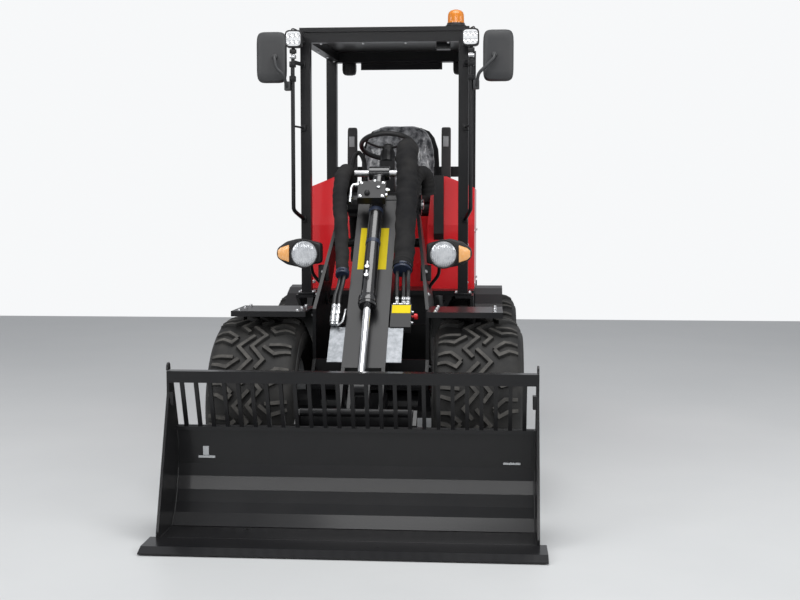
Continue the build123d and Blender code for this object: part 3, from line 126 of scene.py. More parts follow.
def finish_material(name, colour, roughness, dust_and_highlight_amount=0.05, grain_scale=220.0, bump=0.05,
                    dust_and_highlight=(0.30, 0.28, 0.25), patch_scale=6.0, spread=0.15, bump_distance=0.0004, metallic=0.0,
                    coat=0.0, coat_roughness=0.1, specular=0.5, sheen=0.0, transmission=0.0):
    """A finish made of the wear and highlight surface group on a Principled shader; on the seat film its dust colour
    paints highlights.
    """
    material = bpy.data.materials.new(name)
    material.use_nodes = True
    tree = material.node_tree
    shader = tree.nodes["Principled BSDF"]
    place = node(tree, "ShaderNodeTexCoord")
    surface = node(tree, "ShaderNodeGroup", {
        "Colour": (*colour, 1.0), "Dust And Highlight": (*dust_and_highlight, 1.0), "Dust And Highlight Amount": dust_and_highlight_amount, "Patch Scale": patch_scale,
        "Grain Scale": grain_scale, "Roughness": roughness, "Roughness Spread": spread}, node_tree=wear_and_highlight_surface)
    join(tree, (place, "Object", surface, "Place"), (surface, "Colour", shader, "Base Color"),
         (surface, "Roughness", shader, "Roughness"))
    if bump:
        relief = node(tree, "ShaderNodeBump", {"Strength": bump, "Distance": bump_distance})
        join(tree, (surface, "Height", relief, "Height"), (relief, "Normal", shader, "Normal"))
    for entry, value in (("Metallic", metallic), ("Coat Weight", coat), ("Coat Roughness", coat_roughness),
                         ("Specular IOR Level", specular), ("Sheen Weight", sheen),
                         ("Transmission Weight", transmission)):
        shader.inputs[entry].default_value = value
    return material


# Colour, roughness, amount of dust (painted highlight on the seat film), scale of the grain and bump, then what
# differs from the defaults
black_paint = finish_material("black_paint", (0.007, 0.007, 0.008), 0.33, 0.015, 420.0, 0.10, patch_scale=5.0,
                              coat=0.06, coat_roughness=0.2, specular=0.28)
bucket_paint = finish_material("bucket_paint", (0.007, 0.007, 0.008), 0.30, 0.015, 300.0, 0.10, patch_scale=3.0,
                               coat=0.25, coat_roughness=0.12, specular=0.25)
red_paint = finish_material("red_paint", (0.68, 0.006, 0.012), 0.30, 0.01, 320.0, 0.06, coat=0.6,
                            coat_roughness=0.08)
weight_paint = finish_material("weight_paint", (0.018, 0.018, 0.019), 0.5, 0.03, 90.0, 0.35, bump_distance=0.001)
rubber = finish_material("tyre_rubber", (0.009, 0.009, 0.009), 0.66, 0.35, 160.0, 0.3, dust_and_highlight=(0.07, 0.066, 0.06),
                         patch_scale=9.0, bump_distance=0.0008, specular=0.35)
rim_paint = finish_material("rim_paint", (0.55, 0.56, 0.57), 0.38, 0.12, 260.0, 0.08, coat=0.2)
bright_steel = finish_material("bright_steel", (0.62, 0.62, 0.63), 0.28, 0.05, 500.0, 0.1, metallic=1.0)
chrome = finish_material("chrome", (0.80, 0.80, 0.81), 0.08, 0.0, 300.0, 0.0, spread=0.05, metallic=1.0)
zinc = finish_material("zinc", (0.16, 0.17, 0.18), 0.44, 0.7, 260.0, 0.12, dust_and_highlight=(0.34, 0.35, 0.37),
                       patch_scale=45.0, metallic=0.9)
black_plastic = finish_material("black_plastic", (0.012, 0.012, 0.013), 0.46, 0.03, 700.0, 0.25, specular=0.35)
mirror_plastic = finish_material("mirror_plastic", (0.030, 0.031, 0.033), 0.50, 0.04, 800.0, 0.3)
seat_cloth = finish_material("seat_cloth", (0.020, 0.020, 0.022), 0.75, 0.05, 500.0, 0.4, sheen=0.3)
sleeve_cloth = finish_material("sleeve_cloth", (0.012, 0.012, 0.013), 0.85, 0.06, 650.0, 0.5, specular=0.15)
amber_plastic = finish_material("amber_plastic", (0.95, 0.30, 0.01), 0.15, 0.0, bump=0.0, coat=0.5,
                                transmission=0.35)
clear_lens = finish_material("clear_lens", (0.80, 0.82, 0.84), 0.12, 0.0, bump=0.0, coat=0.5, transmission=0.5)
tread_top = finish_material("tread_top", (0.045, 0.043, 0.040), 0.74, 0.7, 190.0, 0.4, dust_and_highlight=(0.13, 0.123, 0.112),
                            patch_scale=22.0, bump_distance=0.001, specular=0.3)
black_gloss = finish_material("black_gloss", (0.008, 0.008, 0.009), 0.20, 0.01, 300.0, 0.04, coat=0.6,
                              coat_roughness=0.08)
strap_blue = finish_material("strap_blue", (0.012, 0.020, 0.045), 0.42, 0.02, 400.0, 0.2)
zinc_bright = finish_material("zinc_bright", (0.50, 0.51, 0.52), 0.26, 0.05, 300.0, 0.06, metallic=1.0)
hose_rubber = finish_material("hose_rubber", (0.011, 0.011, 0.012), 0.42, 0.04, 500.0, 0.15)
red_plastic = finish_material("red_plastic", (0.60, 0.01, 0.012), 0.30, 0.0, 300.0, 0.05)
yellow_label = finish_material("yellow_label", (0.72, 0.56, 0.0), 0.60, 0.15, 200.0, 0.03,
                               dust_and_highlight=(0.55, 0.42, 0.01), patch_scale=30.0, specular=0.2)
grey_label = finish_material("grey_label", (0.30, 0.31, 0.32), 0.40, 0.1, 300.0, 0.05)
white_face = finish_material("white_face", (0.72, 0.73, 0.74), 0.32, 0.2, 200.0, 0.05, dust_and_highlight=(0.5, 0.5, 0.5),
                             patch_scale=40.0, coat=0.3)
pale_amber = finish_material("pale_amber", (0.90, 0.42, 0.12), 0.18, 0.5, 240.0, 0.2, dust_and_highlight=(0.95, 0.62, 0.35),
                             patch_scale=60.0, coat=0.6)
lens_glass = finish_material("lens_glass", (0.78, 0.80, 0.82), 0.10, 0.8, 120.0, 0.35, dust_and_highlight=(0.45, 0.47, 0.50),
                             patch_scale=38.0, bump_distance=0.002, metallic=0.35, coat=0.8, coat_roughness=0.05)
mirror_glass = finish_material("mirror_glass", (0.85, 0.87, 0.88), 0.03, 0.0, bump=0.0, spread=0.02, metallic=1.0)
# The seat film's pale grey patches, given as its dust colour, are painted highlights of the film's reflections.
seat_film = finish_material("seat_film", (0.050, 0.052, 0.058), 0.20, 0.75, 24.0, 1.0, dust_and_highlight=(0.60, 0.61, 0.63),
                            patch_scale=20.0, bump_distance=0.012, coat=0.8, coat_roughness=0.12)
red_lens = finish_material("red_lens", (0.55, 0.01, 0.01), 0.15, 0.0, bump=0.0, coat=0.5)

finishes = {
    "black_paint": black_paint,
    "red_paint": red_paint,
    "cast_weight": weight_paint,
    "steel_pin": bright_steel,
    "chrome_rod": chrome,
    "tyre_rubber": rubber,
    "rim_paint": rim_paint,
    "seat_cover": seat_cloth,
    "black_plastic": black_plastic,
    "amber": amber_plastic,
    "clear_lens": clear_lens,
    "hose_fabric": sleeve_cloth,
    "zinc": zinc,
    "red_lens": red_lens,
}
own_finish = {
    "bucket": bucket_paint,
    "bucket_grille": bucket_paint,
    "cutting_edge": bucket_paint,
    "mirrors": mirror_plastic,
}
slot_of = {row["node"]: row["material_slot"] for row in frame["record"]["subparts"]}
for name, part in frame["nodes"].items():
    part.data.materials.clear()
    part.data.materials.append(own_finish.get(name, finishes[slot_of[name]]))

# Shapes

shift_y = 0.122


def at(x, y, z):
    """A place given in millimetres from the centre joint."""
    return Vector((x / 1000, y / 1000 + shift_y, z / 1000))


def basis(direction):
    """Two directions across a line, and its own."""
    along = Vector(direction).normalized()
    helper = Vector((1, 0, 0)) if abs(along.x) < 0.9 else Vector((0, 1, 0))
    across = (helper - along * helper.dot(along)).normalized()
    return across, along.cross(across), along


def bridge(bm, rings, index=0, loop=False):
    """Faces between rings of vertices. A ring of one vertex is a point."""
    pairs = list(zip(rings, rings[1:]))
    if loop:
        pairs.append((rings[-1], rings[0]))
    for first, second in pairs:
        count = max(len(first), len(second))
        for k in range(count):
            n = (k + 1) % count
            if len(first) == 1 and len(second) == 1:
                continue
            if len(first) == 1:
                corners = (first[0], second[n], second[k])
            elif len(second) == 1:
                corners = (first[k], first[n], second[0])
            else:
                corners = (first[k], first[n], second[n], second[k])
            bm.faces.new(corners).material_index = index


def turned(bm, start, direction, profile, sides=32, index=0, loop=False):
    """A turned shape about a line, from (along, radius) rows in millimetres."""
    across, up, along = basis(direction)
    start = Vector(start)
    rings = []
    for step, radius in profile:
        centre = start + along * (step / 1000)
        if radius == 0:
            rings.append([bm.verts.new(centre)])
            continue
        rings.append([bm.verts.new(centre + (across * math.cos(math.tau * k / sides) + up * math.sin(
            math.tau * k / sides)) * (radius / 1000)) for k in range(sides)])
    bridge(bm, rings, index, loop)


def solid(bm, start, direction, profile, sides=32, index=0):
    """A turned shape closed by flat ends."""
    turned(bm, start, direction, [(profile[0][0], 0), *profile, (profile[-1][0], 0)], sides, index)


def bar_between(bm, start, end, radius, sides=24, bevel=1.2, index=0):
    """A round bar with bevelled ends."""
    start, end = Vector(start), Vector(end)
    length = (end - start).length * 1000
    solid(bm, start, end - start, [(0, radius - bevel), (bevel, radius), (length - bevel, radius),
                                   (length, radius - bevel)], sides, index)


def smooth_line(points, steps=6):
    """Points on a smooth line through the given ones."""
    points = [Vector(point) for point in points]
    ends = [2 * points[0] - points[1]] + points + [2 * points[-1] - points[-2]]
    line = []
    for a, b, c, d in zip(ends, ends[1:], ends[2:], ends[3:]):
        for k in range(steps):
            t = k / steps
            line.append(0.5 * ((2 * b) + (c - a) * t + (2 * a - 5 * b + 4 * c - d) * t * t + (
                3 * b - a - 3 * c + d) * t ** 3))
    line.append(points[-1])
    return line


def route(rows, steps=6):
    """A smooth line through places given in millimetres."""
    return smooth_line([at(*row) for row in rows], steps)


def tube(bm, line, radii, sides=16, index=0, flat=1.0):
    """A tube along a line; radii is one number or one per point, flat narrows it across."""
    if not hasattr(radii, "__len__"):
        radii = [radii] * len(line)
    across = basis(line[1] - line[0])[0]
    rings = []
    for k, point in enumerate(line):
        run = (line[min(k + 1, len(line) - 1)] - line[max(k - 1, 0)]).normalized()
        across = (across - run * across.dot(run)).normalized()
        up = run.cross(across)
        rings.append([bm.verts.new(point + (across * math.cos(math.tau * n / sides) + up * flat * math.sin(
            math.tau * n / sides)) * (radii[k] / 1000)) for n in range(sides)])
    bridge(bm, rings, index)
    for ring in (rings[0], rings[-1]):
        bm.faces.new(ring).material_index = index


def finish_shape(bm, before, edges, bevel, index, segments):
    """Bevels the edges of a new shape and gives its faces their material."""
    if bevel:
        bmesh.ops.bevel(bm, geom=edges, offset=bevel / 1000, segments=segments, affect="EDGES", profile=0.5)
    for face in bm.faces:
        if face not in before:
            face.material_index = index


def box(bm, low, high, bevel=1.5, index=0, segments=2):
    """A box between two corners in millimetres, with rounded edges."""
    before = set(bm.faces)
    centre = (at(*low) + at(*high)) / 2
    size = at(*high) - at(*low)
    scale = Matrix.Diagonal((abs(size.x), abs(size.y), abs(size.z), 1.0))
    made = bmesh.ops.create_cube(bm, size=1.0, matrix=Matrix.Translation(centre) @ scale)
    edges = list({edge for vert in made["verts"] for edge in vert.link_edges})
    finish_shape(bm, before, edges, bevel, index, segments)


def slab(bm, outline, depth, bevel=1.0, index=0, segments=1):
    """A plate from corners on one plane, moved by a depth vector, with bevelled edges."""
    before = set(bm.faces)
    front = [bm.verts.new(Vector(point)) for point in outline]
    back = [bm.verts.new(Vector(point) + Vector(depth)) for point in outline]
    faces = [bm.faces.new(front), bm.faces.new(list(reversed(back)))]
    for k in range(len(front)):
        n = (k + 1) % len(front)
        faces.append(bm.faces.new((front[n], front[k], back[k], back[n])))
    edges = list({edge for face in faces for edge in face.edges})
    finish_shape(bm, before, edges, bevel, index, segments)


def side_plate(bm, low, high, outline, bevel, index=0, segments=1):
    """A plate between two places in x, from its outline in y and z."""
    slab(bm, [at(low, y, z) for y, z in outline], Vector(((high - low) / 1000, 0, 0)), bevel, index, segments)


def rounded_square(count, power_across, power_up, start=0.5):
    """Places around a square of half width 1; the smaller the powers, the sharper its corners."""
    places = []
    for k in range(count):
        turn = math.tau * (k + start) / count
        across, up = math.cos(turn), math.sin(turn)
        places.append((math.copysign(abs(across) ** power_across, across), math.copysign(abs(up) ** power_up, up)))
    return places


def link_mesh(name, bm):
    """A scene object from built faces."""
    bmesh.ops.recalc_face_normals(bm, faces=bm.faces)
    mesh = bpy.data.meshes.new(name)
    bm.to_mesh(mesh)
    bm.free()
    made = bpy.data.objects.new(name, mesh)
    scene.collection.objects.link(made)
    return made


def place_piece(bm, name, body, materials, replaces=(), angle=35.0):
    """Turns built faces into a piece, which rides on a body if one is given."""
    made = link_mesh(name, bm)
    for material in materials:
        made.data.materials.append(material)
    made.data.shade_smooth()
    made.data.set_sharp_from_angle(angle=math.radians(angle))
    if body:
        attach(made, body)
    if replaces:
        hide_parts(*replaces)
    return made


boom_pivot_y, boom_pivot_z = -300.0, 1290.0
boom_slope = math.atan2(915.0, 900.0)


def on_boom(along, above, x=0.0):
    """A place on the boom, along it from its pivot and above its centre line."""
    return at(x, boom_pivot_y - along * math.cos(boom_slope) - above * math.sin(boom_slope),
              boom_pivot_z - along * math.sin(boom_slope) + above * math.cos(boom_slope))


boom_run = (on_boom(1, 0) - on_boom(0, 0)).normalized()
boom_up = (on_boom(0, 1) - on_boom(0, 0)).normalized()


# Repeats: a ring of like pieces about the X axis, and bolt heads at listed places

def build_repeat(name, inputs):
    """A geometry group with its inputs; the copies it makes come out real and in one material."""
    tree = bpy.data.node_groups.new(name, "GeometryNodeTree")
    rows = (("Geometry", "NodeSocketGeometry"), *inputs, ("Material", "NodeSocketMaterial"))
    inlet, outlet = group_sockets(tree, [(*row, None) for row in rows], rows[:1])
    real = node(tree, "GeometryNodeRealizeInstances")
    painted = node(tree, "GeometryNodeSetMaterial")
    join(tree, (real, "Geometry", painted, "Geometry"), (inlet, "Material", painted, "Material"),
         (painted, "Geometry", outlet, "Geometry"))
    return tree, inlet, real


def build_ring_repeat():
    """Copies its geometry in even turns about the X axis and moves the ring to a place."""
    tree, inlet, real = build_repeat("ring_repeat", (("Count", "NodeSocketInt"), ("Place", "NodeSocketVector")))
    points = node(tree, "GeometryNodePoints")
    number = node(tree, "GeometryNodeInputIndex")
    step = node(tree, "ShaderNodeMath", {0: math.tau}, operation="DIVIDE")
    turn = node(tree, "ShaderNodeMath", operation="MULTIPLY")
    rotation = node(tree, "ShaderNodeCombineXYZ")
    copies = node(tree, "GeometryNodeInstanceOnPoints")
    moved = node(tree, "GeometryNodeTransform")
    join(tree, (inlet, "Count", points, "Count"), (inlet, "Count", step, 1), (number, 0, turn, 0),
         (step, 0, turn, 1), (turn, 0, rotation, "X"), (points, "Points", copies, "Points"),
         (inlet, "Geometry", copies, "Instance"), (rotation, 0, copies, "Rotation"),
         (copies, "Instances", moved, "Geometry"), (inlet, "Place", moved, "Translation"),
         (moved, "Geometry", real, "Geometry"))
    return tree


def build_bolt_places():
    """A bolt head at every point, turned to the point's facing."""
    tree, inlet, real = build_repeat("bolt_places", (("Head", "NodeSocketObject"), ("Size", "NodeSocketFloat")))
    head = node(tree, "GeometryNodeObjectInfo")
    facing = node(tree, "GeometryNodeInputNamedAttribute", {"Name": "facing"}, data_type="FLOAT_VECTOR")
    aligned = node(tree, "FunctionNodeAlignRotationToVector", axis="Z")
    copies = node(tree, "GeometryNodeInstanceOnPoints")
    join(tree, (inlet, "Head", head, "Object"), (facing, "Attribute", aligned, "Vector"),
         (inlet, "Geometry", copies, "Points"), (head, "Geometry", copies, "Instance"),
         (aligned, "Rotation", copies, "Rotation"), (inlet, "Size", copies, "Scale"),
         (copies, "Instances", real, "Geometry"))
    return tree


ring_repeat = build_ring_repeat()
bolt_places = build_bolt_places()


def keep_result(made):
    """Makes what a piece's modifiers give its own mesh and takes them off."""
    bpy.context.view_layer.update()
    depsgraph = bpy.context.evaluated_depsgraph_get()
    mesh = bpy.data.meshes.new_from_object(made.evaluated_get(depsgraph), depsgraph=depsgraph)
    made.modifiers.clear()
    made.data = mesh
    return mesh


def run_nodes(made, tree, values):
    """Runs a geometry node group on a piece and keeps the result."""
    modifier = made.modifiers.new("nodes", "NODES")
    modifier.node_group = tree
    names = {item.name: item.identifier for item in tree.interface.items_tree if item.in_out == "INPUT"}
    for name, value in values.items():
        modifier[names[name]] = value
    mesh = keep_result(made)
    mesh.shade_smooth()
    mesh.set_sharp_from_angle(angle=math.radians(35))


def run_ring(made, count, place):
    """Repeats a piece about the X axis and moves it, keeping its own materials."""
    materials = list(made.data.materials)
    indices = [face.material_index for face in made.data.polygons]
    run_nodes(made, ring_repeat, {"Count": count, "Place": place, "Material": materials[0]})
    made.data.materials.clear()
    for material in materials:
        made.data.materials.append(material)
    for k, face in enumerate(made.data.polygons):
        face.material_index = indices[k % len(indices)]


def build_bolt_head():
    """A hexagon head of 11 mm across its flats on a washer, standing on the origin."""
    bm = bmesh.new()
    solid(bm, (0, 0, 0), (0, 0, 1), [(0, 9.0), (1.4, 9.0), (1.6, 8.6)], 20)
    solid(bm, (0, 0, 0), (0, 0, 1), [(1.5, 6.4), (6.6, 6.4), (7.6, 5.6)], 6)
    return link_mesh("bolt_head", bm)


bolt_head = build_bolt_head()


def bolts(name, body, size, rows):
    """Bolt heads from rows of x, y, z in millimetres and the direction they face."""
    mesh = bpy.data.meshes.new(name)
    mesh.from_pydata([at(*row[:3]) for row in rows], [], [])
    attribute = mesh.attributes.new("facing", "FLOAT_VECTOR", "POINT")
    for k, row in enumerate(rows):
        attribute.data[k].vector = Vector(row[3:6]).normalized()
    made = bpy.data.objects.new(name, mesh)
    scene.collection.objects.link(made)
    run_nodes(made, bolt_places, {"Head": bolt_head, "Size": size, "Material": bright_steel})
    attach(made, body)


# Tyres: a turned carcass and nine pitches of lugs

tyre_radius = 393.5
wheel_x = 485.0
tread_pitches = 9
lug_width = 17.0
lug_height = 15.0
lug_step = 22.0
wheel_places = (
    ("front_left", 1, -750.0), ("front_right", -1, -750.0), ("rear_left", 1, 750.0), ("rear_right", -1, 750.0),
)
# Central zigzags and shoulder hooks as lines of x in millimetres and angle in degrees
left_zigzag = ((5.0, 0.0), (-57.0, 10.0), (0.0, 19.7), (-57.0, 29.7), (-20.0, 36.2))
right_zigzag = ((-6.0, 0.0), (55.0, 10.0), (0.0, 20.0), (55.0, 30.0), (24.0, 36.0))
closed_hook = (((68.0, 0.0), (114.0, -6.0), (168.0, -6.0)), ((70.0, 0.6), (91.0, 4.6), (131.0, 1.3), (170.0, 1.0)))
open_hook = (((75.0, -1.0), (168.0, -2.2)), ((50.0, 0.0), (101.0, 6.0), (168.0, 3.0)))
# Where the zigzags start, and the hooks' side and starts, for the wheels of each side
tread_starts = {
    1: (13.3, 3.0, ((1, 3.0, 22.7), (-1, 11.8, 31.8))),
    -1: (33.0, 22.7, ((-1, 34.9, 12.0), (1, 24.9, 2.4))),
}
# Carcass from its crown to its bead, as x and radius
carcass_half = (
    (0, 378.5), (90, 377.2), (138, 373), (160, 366), (176, 354), (185, 338), (188, 324), (192, 322), (195.6, 305),
    (196, 290), (191, 268), (184, 246), (172, 226), (160, 216), (156, 208), (148, 206),
)
carcass_rows = [(-x, radius) for x, radius in carcass_half[:0:-1]] + list(carcass_half)


def crown(x):
    """Radius of the carcass at a place across it."""
    x = abs(x)
    return next(r0 + (r1 - r0) * (x - x0) / (x1 - x0)
                for (x0, r0), (x1, r1) in zip(carcass_half, carcass_half[1:]) if x0 <= x <= x1)


def lug_line(bm, line, start, side=1):
    """A raised lug along a line of x and angle, with a bevelled top that wears grey."""
    fine = []
    flat = [Vector((side * x, math.radians(start + angle) * tyre_radius)) for x, angle in line]
    for first, second in zip(flat, flat[1:]):
        steps = max(1, round((second - first).length / lug_step))
        fine += [first.lerp(second, k / steps) for k in range(steps)]
    fine.append(flat[-1])
    rings = []
    for k, point in enumerate(fine):
        before = (point - fine[k - 1]).normalized() if k else (fine[1] - point).normalized()
        after = (fine[k + 1] - point).normalized() if k + 1 < len(fine) else before
        middle = (before + after).normalized()
        normal = Vector((-middle.y, middle.x))
        stretch = 1 / max(0.55, normal.dot(Vector((-before.y, before.x))))
        height = min(tyre_radius - 0.25 - crown(point.x), lug_height)
        height = height if abs(point.x) < 120 else lug_height - (abs(point.x) - 120) * 0.10
        ring = []
        for share, rise in ((0.62, -3.0), (0.52, height - 2.2), (0.44, height), (-0.44, height),
                            (-0.52, height - 2.2), (-0.62, -3.0)):
            spot = point + normal * (share * lug_width * stretch)
            radius = min(crown(point.x) + rise, tyre_radius - 0.1) / 1000
            turn = spot.y / tyre_radius
            ring.append(bm.verts.new((spot.x / 1000, -radius * math.sin(turn), radius * math.cos(turn))))
        rings.append(ring)
    for first, second in zip(rings, rings[1:]):
        for k in range(5):
            face = bm.faces.new((first[k], first[k + 1], second[k + 1], second[k]))
            face.material_index = 1 if k == 2 else 0
    bm.faces.new(rings[0])
    bm.faces.new(list(reversed(rings[-1])))


def build_tyre(name, side, centre):
    """One tyre with its own tread."""
    left_start, right_start, hooks = tread_starts[side]
    bm = bmesh.new()
    lug_line(bm, left_zigzag, left_start)
    lug_line(bm, right_zigzag, right_start)
    for hook_side, closed_at, open_at in hooks:
        for shape, start in ((closed_hook, closed_at), (open_hook, open_at)):
            for line in shape:
                lug_line(bm, line, start, hook_side)
    made = link_mesh("tyre_tread_" + name, bm)
    for material in (rubber, tread_top):
        made.data.materials.append(material)
    run_ring(made, tread_pitches, tuple(centre))
    bm = bmesh.new()
    bm.from_mesh(made.data)
    turned(bm, centre, (1, 0, 0), carcass_rows, 96, 0)
    for wall in (-1, 1):
        for radius, reach in ((238.0, 181.0), (252.0, 187.5), (311.0, 195.0)):
            turned(bm, centre, (1, 0, 0), [(wall * (reach - 3), radius - 4), (wall * reach, radius - 1.5),
                                           (wall * reach, radius + 1.5), (wall * (reach - 3), radius + 4)], 96, 0)
    bmesh.ops.recalc_face_normals(bm, faces=bm.faces)
    bm.to_mesh(made.data)
    bm.free()
    made.data.shade_smooth()
    made.data.set_sharp_from_angle(angle=math.radians(32))
    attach(made, "wheel_" + name)
    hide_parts("tyre_" + name)


rim_rows = (
    (-160, 198), (-160, 205), (-148.6, 205), (-147.6, 201), (-118, 197), (-58, 190), (58, 190), (118, 197),
    (147.6, 201), (148.6, 205), (160, 205), (160, 198), (152, 193), (120, 188), (60, 181), (-60, 181), (-120, 188),
    (-152, 193),
)
disc_rows = (
    (-118, 28), (-118, 62), (12, 62), (13, 96), (28, 97), (28, 182), (40, 182), (45, 178), (46, 170), (38, 150),
    (36, 112), (40, 104), (46, 98), (47, 60), (50, 50), (70, 47.5), (71.5, 44), (71.5, 12), (70.5, 10), (70.5, 0),
)
nut_circle = 79.0


def build_rim(name, side, y, centre):
    """Rim, disc, hub and wheel nuts."""
    bm = bmesh.new()
    turned(bm, centre, (side, 0, 0), rim_rows, 72, 0, loop=True)
    turned(bm, centre, (side, 0, 0), disc_rows, 72, 0)
    bar_between(bm, centre + Vector((side * 0.145, 0, 0.193)), centre + Vector((side * 0.158, 0, 0.186)), 4.5, 12,
                0.6, 1)
    for k in range(6):
        turn = math.tau * (k + 0.5) / 6
        spot = centre + Vector((side * 0.036, 0.132 * math.cos(turn), 0.132 * math.sin(turn)))
        turned(bm, spot, (side, 0, 0), [(0, 17), (0.9, 16.5), (0.9, 0)], 24, 1)
    place_piece(bm, "rim_shape_" + name, "wheel_" + name, [rim_paint, black_plastic],
                ["rim_" + name])
    turns = [math.tau * k / 6 for k in range(6)]
    bolts("wheel_nuts_" + name, "wheel_" + name, 1.45, [
        (side * (wheel_x + 45.5), y + nut_circle * math.cos(turn), tyre_radius + nut_circle * math.sin(turn),
         side, 0, 0) for turn in turns])


for name, side, y in wheel_places:
    wheel_centre = at(side * wheel_x, y, tyre_radius)
    build_tyre(name, side, wheel_centre)
    build_rim(name, side, y, wheel_centre)


# Hydraulic cylinders

def build_cylinder(start, end, eye_radius, eye_half, barrel_radius, barrel_end, gland_radius, across):
    """Barrel with base eye, end weld and gland nut."""
    bm = bmesh.new()
    run = (end - start).normalized()
    half = Vector(across) * (eye_half / 1000)
    gland_start = barrel_end - gland_radius
    bar_between(bm, start - half, start + half, eye_radius, 36, 2.0)
    turned(bm, start, run, [
        (eye_radius * 0.6, 0), (eye_radius * 0.6, barrel_radius * 0.8), (eye_radius + 4, barrel_radius),
        (eye_radius + 9, barrel_radius), (eye_radius + 11, barrel_radius + 1.5),
        (eye_radius + 14, barrel_radius + 1.5), (eye_radius + 16, barrel_radius), (gland_start, barrel_radius),
        (gland_start + 1, gland_radius - 1), (gland_start + 3, gland_radius),
        (barrel_end - 6, gland_radius), (barrel_end - 4, gland_radius - 3), (barrel_end + 7, gland_radius - 4),
        (barrel_end + 9, gland_radius - 6), (barrel_end + 9.5, gland_radius * 0.66), (barrel_end + 9.5, 0)], 48)
    side, up, _ = basis(run)
    for k in range(4):
        turn = math.tau * (k + 0.5) / 4
        out = side * math.cos(turn) + up * math.sin(turn)
        spot = start + run * ((barrel_end - gland_radius / 2) / 1000) + out * ((gland_radius - 1.0) / 1000)
        bar_between(bm, spot, spot + out * 0.0012, 3.2, 12, 0.3, 1)
    return bm, run


def build_rod(name, start, end, eye_radius, eye_half, rod_radius, inside, across):
    """Polished rod with its eye."""
    bm = bmesh.new()
    run = (end - start).normalized()
    half = Vector(across) * (eye_half / 1000)
    length = (end - start).length * 1000
    bar_between(bm, start + run * (inside / 1000), end - run * (eye_radius / 2000), rod_radius, 40, 1.0, 0)
    turned(bm, start, run, [(length - eye_radius - 10, rod_radius), (length - eye_radius - 9, rod_radius + 3.5),
                            (length - eye_radius * 0.6, rod_radius + 4.5), (length - eye_radius * 0.5, 0)], 32, 1)
    bar_between(bm, end - half, end + half, eye_radius, 36, 2.0, 1)
    place_piece(bm, name + "_shape", name, [chrome, black_paint], [name])


tilt_ends = (at(0, -294, 1440), at(0, -1194, 525))
lift_ends = (at(0, -240, 400), on_boom(260, -115))
steer_ends = (at(140, 620, 520), at(188, -68, 520))
bm, run = build_cylinder(*tilt_ends, 33.0, 50.0, 33.0, 830.0, 42.5, (1, 0, 0))
up = basis(run)[1]
up = up if up.z > 0 else -up
for along in (252.0, 452.0):
    turned(bm, tilt_ends[0], run, [(along, 33.4), (along + 1, 34.6), (along + 21, 34.6), (along + 22, 33.4)], 48, 2)
for along, reach in ((640.0, 30.0), (690.0, 26.0)):
    spot = tilt_ends[0] + run * (along / 1000) + up * 0.031 + Vector((-0.012, 0, 0))
    bar_between(bm, spot, spot + up * 0.016, 11.0, 6, 1.0, 3)
    bar_between(bm, spot + up * 0.010, spot + up * 0.010 - run * (reach / 1000), 7.5, 16, 1.0, 3)
place_piece(bm, "tilt_cylinder", "tilt_barrel", [black_gloss, black_plastic, strap_blue, zinc_bright],
            ["tilt_barrel"])
bm, _ = build_cylinder(*lift_ends, 32.0, 29.0, 32.0, 530.0, 37.5, (1, 0, 0))
place_piece(bm, "lift_cylinder", "lift_barrel", [black_gloss, black_plastic], ["lift_barrel"])
bm, _ = build_cylinder(*steer_ends, 24.0, 18.0, 19.0, 500.0, 21.8, (0, 0, 1))
place_piece(bm, "steering_cylinder", "steer_barrel", [black_gloss, black_plastic], ["steer_barrel"])
build_rod("tilt_rod", *tilt_ends, 29.8, 24.8, 17.4, 480.0, (1, 0, 0))
build_rod("lift_rod", *lift_ends, 28.8, 28.8, 17.9, 90.0, (1, 0, 0))
build_rod("steer_rod", *steer_ends, 24.8, 17.8, 12.4, 290.0, (0, 0, 1))


# Hose sleeves over the tower, their ties, hoses and couplers

def sleeve(name, points, radii, seed):
    """A cloth sleeve with creases, which bends between the tower and the boom."""
    line = smooth_line(points, 12)
    wavy = []
    for k in range(len(line)):
        spread = radii[0] + (radii[1] - radii[0]) * min(1.0, k / (len(line) * 0.45))
        spread += (radii[2] - radii[1]) * max(0.0, (k / len(line) - 0.45) / 0.55)
        wavy.append(spread * (1 + 0.035 * math.sin(k * 1.9 + seed) + 0.025 * math.sin(k * 0.83 + 2 * seed)))
    bm = bmesh.new()
    tube(bm, line, wavy, 24)
    for vert in bm.verts:
        place = vert.co * 46 + Vector((seed, seed, 0))
        vert.co += Vector((math.sin(place.z * 1.7), math.sin(place.x * 2.1 + place.z),
                           math.cos(place.y * 1.9))) * 0.0016
    return place_piece(bm, name, None, [sleeve_cloth], angle=80)


right_path = [at(118, -205, 1090), at(122, -208, 1260), at(132, -238, 1440), at(138, -318, 1552), at(140, -402, 1512),
              at(146, -468, 1390), at(146, -540, 1262), on_boom(420, 100, 146), on_boom(500, 96, 142)]
left_path = [at(-120, -205, 1010), at(-126, -208, 1210), at(-140, -240, 1370), at(-156, -318, 1446),
             at(-168, -405, 1410), at(-170, -478, 1312), at(-156, -548, 1206), on_boom(430, 92, -136),
             on_boom(520, 86, -128)]
loops = (
    ("sleeve_right", right_path, (38.0, 52.0, 44.0), 1.3),
    ("sleeve_left", left_path, (30.0, 37.0, 28.0), 4.1),
)
for name, path, radii, seed in loops:
    made = sleeve(name, path, radii, seed)
    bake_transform(made)
    if name == "sleeve_right":
        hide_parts("hose_sleeves")
bm = bmesh.new()
line = route([(152, -462, 1245), (168, -428, 1340), (180, -398, 1408), (211, -374, 1440), (234, -347, 1411),
              (238, -330, 1340)], 12)
tube(bm, line, [33.0 + 1.3 * math.sin(k * 1.7) for k in range(len(line))], 24)
place_piece(bm, "sleeve_outer", "front_frame", [sleeve_cloth], ["hose_loops"], 80)
bm = bmesh.new()
